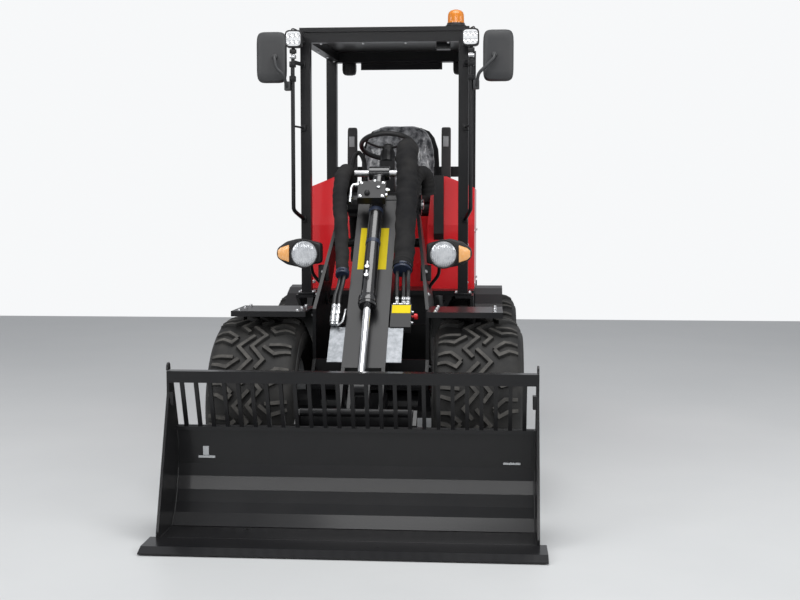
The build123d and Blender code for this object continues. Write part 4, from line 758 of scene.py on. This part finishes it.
for path, radius in ((right_path, 41.0), (left_path, 29.5)):
    turned(bm, path[-1] - boom_run * 0.012, boom_run, [(0, 0), (0, radius), (1, radius + 2), (24, radius + 1.5),
                                                       (26, radius - 1), (27, 0)])
    spot = path[-1] + boom_up * ((radius + 2) / 1000)
    solid(bm, spot + Vector((-0.011, 0, 0)), (1, 0, 0), [(0, 4), (22, 4)], 8)
place_piece(bm, "sleeve_ties", "boom", [strap_blue])


def hose_run(bm, points, radius):
    """A hose with a crimped bright end."""
    line = smooth_line(points, 8)
    tube(bm, line, radius, 14)
    run = (line[-1] - line[-3]).normalized()
    start = line[-1] - run * 0.006
    solid(bm, start, run, [(0, radius + 2.2), (2, radius + 2.8), (16, radius + 2.8), (18, radius + 1.6),
                           (21, radius + 1.6), (23, radius + 2.8), (36, radius + 2.8), (38, radius), (46, radius)],
          20, 1)
    solid(bm, start + run * 0.038, run, [(0, radius + 5), (14, radius + 5), (15, radius + 3)], 6, 1)


bm = bmesh.new()
for x, lift in ((120.0, 78.0), (150.0, 72.0), (170.0, 84.0)):
    hose_run(bm, [on_boom(505, lift + 14, x), on_boom(550, lift, x), on_boom(590, 52, x), on_boom(622, 34, x)], 9.0)
for x, lift in ((-118.0, 84.0), (-138.0, 74.0)):
    hose_run(bm, [on_boom(530, lift, x), on_boom(580, lift - 4, x - 4), on_boom(640, 66, x - 14),
                  on_boom(690, 60, x - 14)], 9.0)
place_piece(bm, "boom_hoses", "boom", [hose_rubber, zinc_bright])

# Couplers on the left bracket and the details of the coupler block on the right
bm = bmesh.new()
for x in (-132.0, -152.0):
    turned(bm, on_boom(742, 60, x), boom_run, [
        (0, 0), (0, 9), (3, 12), (10, 12), (11, 14.5), (30, 14.5), (31, 13), (34, 13), (35, 14.5), (44, 14.5),
        (45, 11), (56, 11), (57, 0)], 28)
solid(bm, on_boom(690, 60, -152), boom_run, [(0, 8), (54, 8)], 16)
line = smooth_line([on_boom(722, 74, -98), on_boom(760, 80, -100), on_boom(792, 74, -108), on_boom(806, 66, -128)], 8)
tube(bm, line, 5.0, 12)
for x in (112.0, 138.0, 168.0):
    solid(bm, on_boom(656, 32, x), boom_run, [(0, 11), (14, 11), (15, 9)], 6)
for along in (700.0, 760.0):
    solid(bm, on_boom(along, 32, 190.0), (1, 0, 0), [(0, 9), (2, 9), (2, 6), (9, 6), (10, 5)], 18)
place_piece(bm, "boom_couplers", "boom", [zinc_bright])
label_above = 53.2
bm = bmesh.new()
solid(bm, on_boom(724, 32, 190.5), (1, 0, 0), [(0, 5), (10, 5), (12, 13), (18, 14), (26, 12), (28, 8)], 24, 0)
for first, last, low, high in ((676, 722, 104, 186), (208, 466, -68, -28), (208, 466, 22, 63)):
    slab(bm, [on_boom(first, label_above, low), on_boom(first, label_above, high), on_boom(last, label_above, high),
              on_boom(last, label_above, low)], boom_up * 0.0005, 0.0, 1)
place_piece(bm, "boom_labels", "boom", [red_plastic, yellow_label])

# Fittings on the valve block, which sits on the tilt cylinder: along, above, x, facing, profile, sides
valve_top = 176.0
bm = bmesh.new()
tube(bm, smooth_line([on_boom(24, 155, -98), on_boom(26, 156, -112), on_boom(50, 156, -120),
                      on_boom(96, 150, -120)], 6), 8.5, 14)
for place, facing, profile, sides in (
        ((24, 155, -85), (-1, 0, 0), ((0, 12), (10, 12), (10, 9), (24, 9), (26, 11)), 6),
        ((96, 150, -120), boom_run, ((0, 12.5), (14, 12.5), (15, 10), (42, 10)), 16),
        ((20, 160, -10), -boom_run, ((0, 11), (12, 11), (13, 8), (20, 8)), 6),
        ((60, 155, 45), (1, 0, 0), ((0, 12), (10, 12), (10, 8), (18, 8)), 6),
        ((92, 155, 45), (1, 0, 0), ((0, 10), (8, 10)), 6),
        ((60, valve_top, 10), boom_up, ((0, 9), (5, 9), (6, 7)), 6)):
    solid(bm, on_boom(*place), facing, profile, sides)
turned(bm, on_boom(100, valve_top, -40), boom_up, [(0, 0), (0, 13), (6, 13), (12, 10), (15, 5), (16, 0)], 24, 1)
place_piece(bm, "valve_fittings", "tilt_barrel", [zinc_bright, black_plastic])
bolts("valve_bolts", "tilt_barrel", 0.9,
      [(*(1000 * (on_boom(along, valve_top, x) - Vector((0, shift_y, 0)))), *boom_up) for along, x in
       ((32, -72), (32, 32), (118, -72), (118, 32))])


# Road lamps: patterned glass in a rim, and an amber indicator at the outer end

lamp_x, lamp_z = 321.0, 1063.0


def lens_piece(side):
    """Lens, rim and indicator of one road lamp."""
    bm = bmesh.new()
    centre = at(side * lamp_x, -600.0, lamp_z)
    turned(bm, centre + Vector((0, 0.004, 0)), (0, -1, 0), [
        (0, 0), (0, 61.5), (6, 61.5), (9, 57), (13, 40), (14.5, 20), (15, 0)], 48, 0)
    turned(bm, centre + Vector((0, 0.002, 0)), (0, -1, 0), [
        (0, 61.6), (0, 67), (9, 67), (12, 65), (12, 62), (9, 60), (2, 60)], 48, 1, loop=True)
    for k in range(-6, 7):
        x = k * 8.4
        reach = math.sqrt(55.0 ** 2 - x * x)
        bulge = 11.6 + 3.0 * (1 - (x / 60) ** 2)
        rib = centre + Vector((x / 1000, -bulge / 1000 + 0.0052, 0))
        bar_between(bm, rib - Vector((0, 0, reach / 1000)), rib + Vector((0, 0, reach / 1000)), 2.0, 8, 0.6, 0)
    outline = [(391, 1024), (430, 1037), (444, 1050), (444, 1078), (430, 1091), (391, 1104)]
    slab(bm, [at(side * x, -595.0, z) for x, z in outline], Vector((0, -0.010, 0)), 3.0, 2, 2)
    place_piece(bm, "road_lamp_" + ("left" if side > 0 else "right"), "front_frame",
                [lens_glass, black_plastic, pale_amber], angle=30)


for side in (1, -1):
    lens_piece(side)
bm = bmesh.new()
outline = [(243, -30), (246, -44), (300, -52), (352, -62), (404, -50), (446, -22), (452, 0), (446, 26), (404, 56),
           (350, 70), (296, 60), (246, 48), (243, 36)]
for side in (1, -1):
    slab(bm, [at(side * x, -598.0, lamp_z + z) for x, z in outline], Vector((0, 0.070, 0)), 9.0, 0, 3)
    box(bm, (side * 214, -560, 936), (side * 262, -520, 1010), 3.0)
    tube(bm, route([(side * 300, -530, 1010), (side * 292, -500, 960), (side * 250, -470, 900),
                    (side * 236, -440, 820)], 8), 8.0, 12)
place_piece(bm, "lamp_shells", "front_frame", [black_plastic],
            ["lamp_housings", "lamp_lenses", "indicators"], angle=40)

# Work lights: white faces with six small reflectors in a rim
light_x, light_z, stalk_x = 433, 2100, 437
edge = rounded_square(32, 0.4, 0.4)
bm = bmesh.new()
for side in (1, -1):
    slab(bm, [at(side * light_x + 42 * px, -148, light_z + 42 * pz) for px, pz in edge], Vector((0, -0.042, 0)),
         3.0, 0, 2)
    slab(bm, [at(side * light_x + 35 * px, -188, light_z + 35 * pz) for px, pz in edge], Vector((0, -0.0033, 0)),
         0.8, 1)
    bar_between(bm, at(side * stalk_x, -168, 2062), at(side * stalk_x, -186, 1968), 9.0, 16, 1.0, 0)
    bar_between(bm, at(side * stalk_x - 16, -176, 2040), at(side * stalk_x + 16, -176, 2040), 11.0, 16, 1.0, 0)
    box(bm, (side * stalk_x - 14, -199, 2004), (side * stalk_x + 14, -166, 2022), 3.0, 2)
    for row in (-1, 1):
        for column in (-1, 0, 1):
            turned(bm, at(side * light_x + column * 23, -191.2, light_z + row * 16), (0, -1, 0), [
                (0, 0), (0, 10.5), (1.4, 10.5), (1.6, 9.6), (-1.4, 3.2), (0.6, 2.4), (1.2, 0)], 18, 2)
    for k in range(6):
        z = 2066 + k * 13.6
        box(bm, (side * light_x - 36, -150, z - 2), (side * light_x + 36, -138, z + 2), 1.0, 0)
    bar_between(bm, at(side * 422, -146, light_z), at(side * 404, -48, light_z), 8.0, 16, 1.0, 0)
    tube(bm, route([(side * 452, -150, 2134), (side * 448, -120, 2158), (side * 424, -80, 2150),
                    (side * 404, -52, 2128)], 8), 3.5, 10, 0)
place_piece(bm, "front_work_lights", "rear_chassis", [black_plastic, white_face, chrome],
            ["work_lights_front"])

# Mirrors, rails, steering wheel and beacon
mirror_z = 2010
edge = rounded_square(28, 0.36, 0.30)
bm = bmesh.new()
for side, cx in ((1, 568.0), (-1, -541.0)):
    outline = [(px * 74, pz * 124) for px, pz in edge]
    rings = [[bm.verts.new(at(cx + x * share, y, mirror_z + z * share)) for x, z in outline]
             for y, share in ((-214.0, 0.62), (-213.0, 0.80), (-207.0, 0.93), (-194.0, 0.99), (-178.0, 1.0),
                              (-176.0, 0.985))]
    bridge(bm, rings)
    bm.faces.new(rings[0])
    glass = [bm.verts.new(at(cx + x * 0.93, -176.5, mirror_z + z * 0.955)) for x, z in outline]
    bridge(bm, [rings[-1], glass])
    bm.faces.new(glass).material_index = 1
    turned(bm, at(cx - side * 20, -212, mirror_z), (0, -1, 0), [(-8, 0), (-8, 22), (0, 20), (2, 15)] + [
        (2 + 13 * (1 - math.cos(t)), 15 * math.cos(t * 0.5)) for t in (0.4, 0.8, 1.2)] + [(16, 0)], 24)
    tube(bm, route([(cx - side * 20, -226, 2008), (cx - side * 24, -238, 1990), (side * 505, -242, 1950),
                    (side * 475, -238, 1918), (side * 466, -215, 1878), (side * 462, -192, 1856)], 8), 8.0, 14)
    box(bm, (side * 447, -208, 1848), (side * 477, -172, 1892), 4.0, 0)
place_piece(bm, "mirror_pair", "rear_chassis", [mirror_plastic, mirror_glass], ["mirrors"])

bm = bmesh.new()
for side in (1, -1):
    post_x, rail_x = side * 407.0, side * 437.0
    tube(bm, route([(post_x, -49, 1990), (side * 424, -110, 1990), (side * 434, -160, 1988), (rail_x, -184, 1976),
                    (rail_x, -190, 1950), (rail_x, -190, 1800), (rail_x, -190, 1600), (rail_x, -190, 1400),
                    (rail_x, -190, 1290), (side * 436, -186, 1268), (side * 430, -170, 1254),
                    (side * 418, -105, 1234), (post_x, -49, 1216)]), 10.0, 18)
    bar_between(bm, at(rail_x, -190, 1676), at(post_x, -49, 1676), 5.0, 14, 0.5)
    for z in (1990, 1676, 1216):
        box(bm, (post_x - 13, -60, z - 16), (post_x + 13, -46, z + 16), 2.0)
    for z in (1975, 1905):
        box(bm, (rail_x - 15, -205, z - 14), (rail_x + 15, -176, z + 14), 3.0)
place_piece(bm, "rail_pair", "rear_chassis", [black_paint], ["grab_rails"])

bm = bmesh.new()
tilt = Matrix.Rotation(math.radians(-25), 4, "X")
wheel_up = tilt @ Vector((0, 0, 1))
centre = at(0, 190, 1595)
turned(bm, centre, wheel_up, [(13.0 * math.sin(math.tau * k / 16), 139.5 + 12.0 * math.cos(math.tau * k / 16))
                              for k in range(16)], 72, 0, loop=True)
turned(bm, centre, wheel_up, [(-30, 0), (-30, 27), (-20, 30), (-4, 30), (2, 26), (6, 14), (7, 0)], 36, 0)
for angle in (90, 210, 330):
    out = tilt @ Vector((math.cos(math.radians(angle)), math.sin(math.radians(angle)), 0))
    line = smooth_line([centre + out * 0.018 - wheel_up * 0.012, centre + out * 0.06 - wheel_up * 0.018,
                        centre + out * 0.105 - wheel_up * 0.012, centre + out * 0.137 - wheel_up * 0.002], 6)
    tube(bm, line, [13 - 4 * k / len(line) for k in range(len(line))], 16, 0, 0.5)
bar_between(bm, centre - wheel_up * 0.088, centre - wheel_up * 0.028, 10.0, 20, 0.5)
place_piece(bm, "steering_wheel_shape", "steering_wheel", [black_plastic], ["steering_wheel"], 50)

dome_low, dome_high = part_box("beacon_dome")
base_low, base_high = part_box("beacon_base")
centre = Vector(((base_low[0] + base_high[0]) / 2, (base_low[1] + base_high[1]) / 2, base_low[2]))
bm = bmesh.new()
solid(bm, centre, (0, 0, 1), [(0, 51), (3, 52), (10, 52), (13, 47), (21, 45), (21.9, 44)], 48, 1)
centre.z = dome_low[2]
height = (dome_high[2] - dome_low[2]) * 1000
rings = []
for share, reach in ((0.0, 42.5), (0.08, 42.5), (0.10, 41.2), (0.62, 40.0), (0.8, 36.0), (0.92, 27.0), (1.0, 10.0)):
    ring = []
    for k in range(96):
        turn = math.tau * k / 96
        radius = reach - (0.8 if k % 2 and 0.09 < share < 0.9 else 0.0)
        ring.append(bm.verts.new(centre + Vector((radius * math.cos(turn), radius * math.sin(turn),
                                                  share * height)) / 1000))
    rings.append(ring)
rings.append([bm.verts.new(Vector((centre.x, centre.y, dome_high[2])))])
bridge(bm, rings)
place_piece(bm, "beacon", "rear_chassis", [amber_plastic, black_plastic], ["beacon_dome", "beacon_base"], 30)

# Seat: padded cushion and back, and a clear protective film over the back, whose bright patches are painted
# highlights
simulated_steps = 20
groove_width = 0.006
groove_depth = 0.006


def padded_shape(bm, name, outline, puff, groove_x, material):
    """A padded piece swelled by simulation, with grooves towards the middle of its side outline in y and z."""
    made = place_piece(bm, name, "rear_chassis", [material])
    remesh = made.modifiers.new("even", "REMESH")
    remesh.mode = "VOXEL"
    remesh.voxel_size = 0.006
    mesh = keep_result(made)
    flat = [vert.co.copy() for vert in mesh.vertices]
    cloth = made.modifiers.new("cloth", "CLOTH")
    cloth.settings.use_pressure = True
    cloth.settings.uniform_pressure_force = 4.0
    cloth.settings.effector_weights.gravity = 0.0
    cloth.point_cache.frame_start = 1
    cloth.point_cache.frame_end = simulated_steps
    for step in range(1, simulated_steps + 1):
        scene.frame_set(step)
    swelled = made.evaluated_get(bpy.context.evaluated_depsgraph_get())
    moved = [vert.co.copy() for vert in swelled.data.vertices]
    made.modifiers.clear()
    scene.frame_set(1)
    for vert, before, after in zip(mesh.vertices, flat, moved):
        swell = after - before
        if swell.length > puff:
            swell = swell.normalized() * puff
        vert.co = before + swell
    centre_y = sum(at(0, y, z).y for y, z in outline) / len(outline)
    centre_z = sum(z for y, z in outline) / len(outline) / 1000
    for vert in mesh.vertices:
        near = math.exp(-((abs(vert.co.x) - groove_x) / groove_width) ** 2)
        inward = Vector((0, centre_y - vert.co.y, centre_z - vert.co.z))
        if inward.length > 0.01:
            vert.co += inward.normalized() * groove_depth * near
    smooth = made.modifiers.new("smooth", "SUBSURF")
    smooth.levels = 1
    keep_result(made).shade_smooth()
    return made


cushion_outline = [(498, 1316), (490, 1340), (494, 1374), (520, 1388), (700, 1380), (880, 1384), (888, 1350),
                   (880, 1316)]
bm = bmesh.new()
side_plate(bm, -221.0, 221.0, cushion_outline, 18.0, 0, 3)
cushion = padded_shape(bm, "seat_cushion_cover", cushion_outline, 0.012, 0.145, seat_cloth)
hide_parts("seat_cushion")
# Level cuts through the back and the shell behind it: z, half width, front y and back y
back_cuts = [(1332, 196, 926, 984), (1345, 206, 914, 994), (1440, 213, 908, 1008), (1540, 216, 912, 1022),
             (1620, 208, 926, 1034), (1680, 192, 944, 1040), (1725, 166, 960, 1040), (1750, 132, 974, 1036),
             (1762, 88, 986, 1028)]
shell_cuts = [(1262, 226, 1000, 1022), (1330, 230, 1006, 1028), (1440, 231, 1022, 1041), (1540, 230, 1035, 1053),
              (1620, 224, 1048, 1065), (1690, 200, 1056, 1073), (1728, 170, 1059, 1077), (1748, 120, 1062, 1078)]
edge = rounded_square(48, 0.42, 0.62, start=0.0)
bm = bmesh.new()
rings = [[bm.verts.new(at(px * half_width, (front + back) / 2 + py * (back - front) / 2, z)) for px, py in edge]
         for z, half_width, front, back in back_cuts]
bridge(bm, rings)
bm.faces.new(rings[0])
bm.faces.new(rings[-1])
rest = padded_shape(bm, "seat_back_cover", [(front, z) for z, half_width, front, back in back_cuts], 0.010, 0.125,
                    seat_film)
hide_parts("seat_backrest")
bm = bmesh.new()
rings = []
for z, half_width, front, back in shell_cuts:
    middle = (front + back) / 2 - 4
    rings.append([bm.verts.new(at(x, y, z)) for x, y in (
        (-half_width + 12, front), (half_width - 12, front), (half_width, middle), (half_width, back - 6),
        (half_width - 10, back), (-half_width + 10, back), (-half_width, back - 6), (-half_width, middle))])
bridge(bm, rings)
bm.faces.new(rings[0])
bm.faces.new(rings[-1])
side_plate(bm, -232, 232, [(512, 1238), (502, 1262), (506, 1296), (900, 1300), (1010, 1290), (1022, 1232),
                           (560, 1232)], 10.0, 0, 3)
place_piece(bm, "seat_shell", "rear_chassis", [black_plastic], ["seat_base"], 40)
bm = bmesh.new()
for side in (1, -1):
    low, high = sorted((side * 247.5, side * 301.0))
    side_plate(bm, low, high, [(922, 1420), (916, 1560), (922, 1726), (940, 1744), (962, 1744), (978, 1726),
                               (978, 1440), (962, 1420)], 10.0, 0, 3)
    box(bm, (low + 12, 935, 1345), (high - 12, 965, 1424), 6.0, 1)
    box(bm, (side * 236, 950, 1345), (side * 290, 1018, 1385), 5.0, 1)
    box(bm, (low + 10, 914.6, 1630), (high - 12, 917.5, 1690), 1.0, 2)
place_piece(bm, "armrest_pair", "rear_chassis", [seat_cloth, black_plastic, grey_label], ["armrests"])
# Ribbed hose arched over the column, from the floor to the control stand
bm = bmesh.new()
line = route([(-205, 300, 1330), (-204, 292, 1420), (-196, 288, 1520), (-168, 288, 1566), (-140, 290, 1530),
              (-130, 296, 1440), (-126, 330, 1300), (-120, 420, 1150), (-118, 460, 1000), (-116, 466, 850)], 40)
tube(bm, line, [11.0 + (1.6 if k % 4 < 2 else 0.0) for k in range(len(line))], 14)
place_piece(bm, "ribbed_hose", "rear_chassis", [black_plastic], angle=60)

# Bolts
rows = []
for side in (1, -1):
    for y, z in ((-700, 560), (-700, 790), (-420, 560), (-240, 440), (-640, 880), (-560, 980)):
        x = 263.0 - max(0.0, (z - 820) * 0.158)
        rows.append((side * x, y, z, side, 0, 0))
    for y in (-930, -800, -680):
        for x in (300, 556):
            rows.append((side * x, y, 826, 0, 0, 1))
bolts("frame_bolts", "front_frame", 1.2, rows)
rows = []
for side in (1, -1):
    for x, y in ((363, -50), (431, -50), (431, 4), (363, 4)):
        rows.append((side * x, y, 847, 0, 0, 1))
    for z in (870, 1150):
        for y in (345, 1000):
            rows.append((side * 450, y, z, side, 0, 0))
    for z in (880, 1080):
        rows.append((side * 410, 300, z, 0, -1, 0))
    for y in (60, 420, 780, 1060):
        rows.append((side * 397, y, 2100 + (y + 23) * 0.0404, 0, 0, -1))
for x in (-320, -107, 107, 320):
    rows.append((x, -23, 2100, 0, 0, -1))
bolts("chassis_bolts", "rear_chassis", 1.0, rows)
bm = bmesh.new()
for side in (1, -1):
    box(bm, (side * 397 - 44, -61, 835.3), (side * 397 + 44, 18, 847), 2.0)
place_piece(bm, "post_feet", "rear_chassis", [black_paint])

# Bucket: weld beads, horns, gussets and the two loose brackets at its back
bm = bmesh.new()


def weld(points, radius=3.2):
    """A bead of weld along a line, with ripples."""
    line = smooth_line(points, max(2, round((Vector(points[1]) - Vector(points[0])).length * 1000 / 9)))
    tube(bm, line, [radius * (1 + 0.18 * (k % 2)) for k in range(len(line))], 8)


inside = [(-1672, 21), (-1494, 21), (-1455, 65), (-1432, 103), (-1412, 149), (-1395, 200), (-1380, 249), (-1392, 396)]
for side in (1, -1):
    for first, second in zip(inside, inside[1:]):
        weld([at(side * 714, *first), at(side * 714, *second)])
weld([at(-712, -1675, 22), at(712, -1675, 22)], 3.6)
weld([at(-712, -1398.5, 404), at(712, -1398.5, 404)], 2.6)
place_piece(bm, "bucket_welds", "bucket", [bucket_paint], angle=60)
bm = bmesh.new()
y = -1385.5
for left, right, low, high in ((-631, -561, 271, 283), (589, 659, 262, 272)):
    slab(bm, [at(left, y, low), at(right, y, low), at(right, y, high), at(left, y, high)],
         Vector((0, -0.006, 0)), 1.5)
slab(bm, [at(-612, y, 283), at(-586, y, 283), at(-586, y - 2, 322), at(-612, y - 2, 322)], Vector((0, -0.006, 0)),
     1.5)
place_piece(bm, "bucket_brackets", "bucket", [zinc_bright])
# Finer bends of the bucket's back, columns y and z, and its end gussets
liner = [(-1494, 21.6), (-1455, 65.7), (-1432, 103), (-1412, 149), (-1395, 200), (-1384.5, 249), (-1393.5, 400)]
bm = bmesh.new()
rows = [[bm.verts.new(at(x, y, z)) for x in (-716, 716)] for y, z in liner]
for (left_low, right_low), (left_high, right_high) in zip(rows, rows[1:]):
    bm.faces.new((left_low, right_low, right_high, left_high))
depth = bmesh.ops.extrude_face_region(bm, geom=list(bm.faces))
for vert in [part for part in depth["geom"] if isinstance(part, bmesh.types.BMVert)]:
    vert.co += Vector((0, 0.002, -0.001))
place_piece(bm, "bucket_liner", "bucket", [bucket_paint], angle=2)
bm = bmesh.new()
for side in (1, -1):
    low, high = sorted((side * 716, side * 700))
    side_plate(bm, low, high, [(-1500, 500), (-1478, 556), (-1508, 556)], 1.5)
    low, high = sorted((side * 716.5, side * 724.5))
    side_plate(bm, low, high, [(-1512, 640), (-1470, 640), (-1474, 662), (-1484, 670), (-1498, 670), (-1508, 660)],
               1.5)
place_piece(bm, "bucket_gussets", "bucket", [bucket_paint])

# Rear: louvres of the hood and its grip
bm = bmesh.new()
for side in (1, -1):
    for k in range(7):
        z = 980 + k * 34
        slab(bm, [at(side * 410, 1200, z), at(side * 410, 1400, z), at(side * 410, 1400, z + 16),
                  at(side * 410, 1200, z + 16)], Vector((side * 0.004, 0, 0)), 1.6, 0)
for k in range(6):
    z = 905 + k * 36
    y = 1540 - (z - 825) * 20 / 325
    slab(bm, [at(-260, y, z), at(260, y, z), at(260, y - 1, z + 17), at(-260, y - 1, z + 17)], Vector((0, 0.004, 0)),
         1.6, 0)
tube(bm, route([(-70, 1510, 1170), (-66, 1535, 1178), (0, 1540, 1182), (66, 1535, 1178), (70, 1510, 1170)]), 7.0, 12)
place_piece(bm, "hood_louvres", "hood", [black_plastic])

# Lights under the roof's back edge with wire brackets
low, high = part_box("work_lights_rear")
back_y = (low[1] - shift_y) * 1000
wire_y = back_y + 22
middle = (low[2] + high[2]) * 500
edge = rounded_square(28, 0.45, 0.45)
bm = bmesh.new()
for x in (348, -315):
    slab(bm, [at(x + 40 * px, back_y, middle + 44 * pz) for px, pz in edge], Vector((0, 0.050, 0)), 6.0, 0, 2)
    for k in range(-3, 4):
        rib_x, rib_y = x + k * 10, back_y + 0.3
        slab(bm, [at(rib_x - 2, rib_y, middle - 34), at(rib_x + 2, rib_y, middle - 34),
                  at(rib_x + 2, rib_y, middle + 34), at(rib_x - 2, rib_y, middle + 34)], Vector((0, -0.004, 0)),
             0.8, 0)
    tube(bm, route([(x - 36, wire_y, middle + 4), (x - 38, wire_y, middle + 56), (x, wire_y, middle + 64),
                    (x + 38, wire_y, middle + 56), (x + 36, wire_y, middle + 4)], 8), 3.0, 10, 1)
place_piece(bm, "rear_work_lights", "rear_chassis", [black_plastic, zinc_bright],
            ["work_lights_rear"])

# Floor, world and lamps
floor_half = 30.0
floor_back = 7.82
floor_mesh = bpy.data.meshes.new("floor")
floor_mesh.from_pydata([(-floor_half, -floor_half, 0), (floor_half, -floor_half, 0), (floor_half, floor_back, 0),
                        (-floor_half, floor_back, 0)], [], [(0, 1, 2, 3)])
floor = bpy.data.objects.new("floor", floor_mesh)
scene.collection.objects.link(floor)
floor_mesh.materials.append(finish_material("floor_finish", (0.60, 0.61, 0.61), 0.45, 0.25, 40.0, 0.02,
                                            dust_and_highlight=(0.78, 0.78, 0.77), patch_scale=0.6))

# The world is white where the camera sees it, darker as a lamp and in mirrors
world = bpy.data.worlds.new("studio")
world.use_nodes = True
scene.world = world
sky = world.node_tree
background = sky.nodes["Background"]
background.inputs["Strength"].default_value = 1.0
light_path = node(sky, "ShaderNodeLightPath")
seen = node(sky, "ShaderNodeMath", operation="MAXIMUM")
seen_any = node(sky, "ShaderNodeMath", operation="MAXIMUM")
sky_mix = node(sky, "ShaderNodeMix", {"A": (0.42, 0.43, 0.45, 1.0), "B": (0.93, 0.94, 0.95, 1.0)}, data_type="RGBA")
mirrored = node(sky, "ShaderNodeMix", {"B": (0.50, 0.51, 0.53, 1.0)}, data_type="RGBA")
join(sky, (light_path, "Is Camera Ray", seen, 0), (light_path, "Is Glossy Ray", seen, 1), (seen, 0, seen_any, 0),
     (light_path, "Is Transmission Ray", seen_any, 1), (seen_any, 0, sky_mix, "Factor"),
     (light_path, "Is Glossy Ray", mirrored, "Factor"), (sky_mix, "Result", mirrored, "A"),
     (mirrored, "Result", background, "Color"))


def area_lamp(name, place, target, size, power, height=None):
    """A soft lamp aimed at a point, square unless a height is given."""
    data = bpy.data.lights.new(name, "AREA")
    data.size = size
    if height:
        data.shape = "RECTANGLE"
        data.size_y = height
    data.energy = power
    lamp = bpy.data.objects.new(name, data)
    scene.collection.objects.link(lamp)
    lamp.location = place
    lamp.rotation_euler = (Vector(target) - Vector(place)).to_track_quat("-Z", "Y").to_euler()


area_lamp("top_lamp", (0.5, -1.5, 6.0), (0.0, 0.0, 0.8), 4.0, 230.0)
area_lamp("front_left_lamp", (-4.5, -5.0, 3.6), (0.0, -0.8, 0.9), 3.0, 120.0)
area_lamp("band_lamp", (0.3, -9.5, 3.75), (0.0, -1.3, 0.17), 7.0, 70.0, 0.40)
area_lamp("front_right_lamp", (5.0, -4.5, 3.4), (0.0, -0.8, 0.9), 3.0, 120.0)

# Camera where the photograph was taken
camera_data = bpy.data.cameras.new("camera")
camera = bpy.data.objects.new("camera", camera_data)
scene.collection.objects.link(camera)
scene.camera = camera
camera_data.sensor_width = 36.0
camera_data.lens = 53.52
camera_data.clip_end = 100.0
camera_yaw = -0.0760
camera_pitch = 0.0764
camera.location = (0.5359, -5.9125, 1.2688)
aim = Vector((math.sin(camera_yaw) * math.cos(camera_pitch), math.cos(camera_yaw) * math.cos(camera_pitch),
              -math.sin(camera_pitch)))
camera.rotation_euler = aim.to_track_quat("-Z", "Y").to_euler()

scene.view_settings.view_transform = "Standard"

bpy.data.objects.remove(bolt_head)
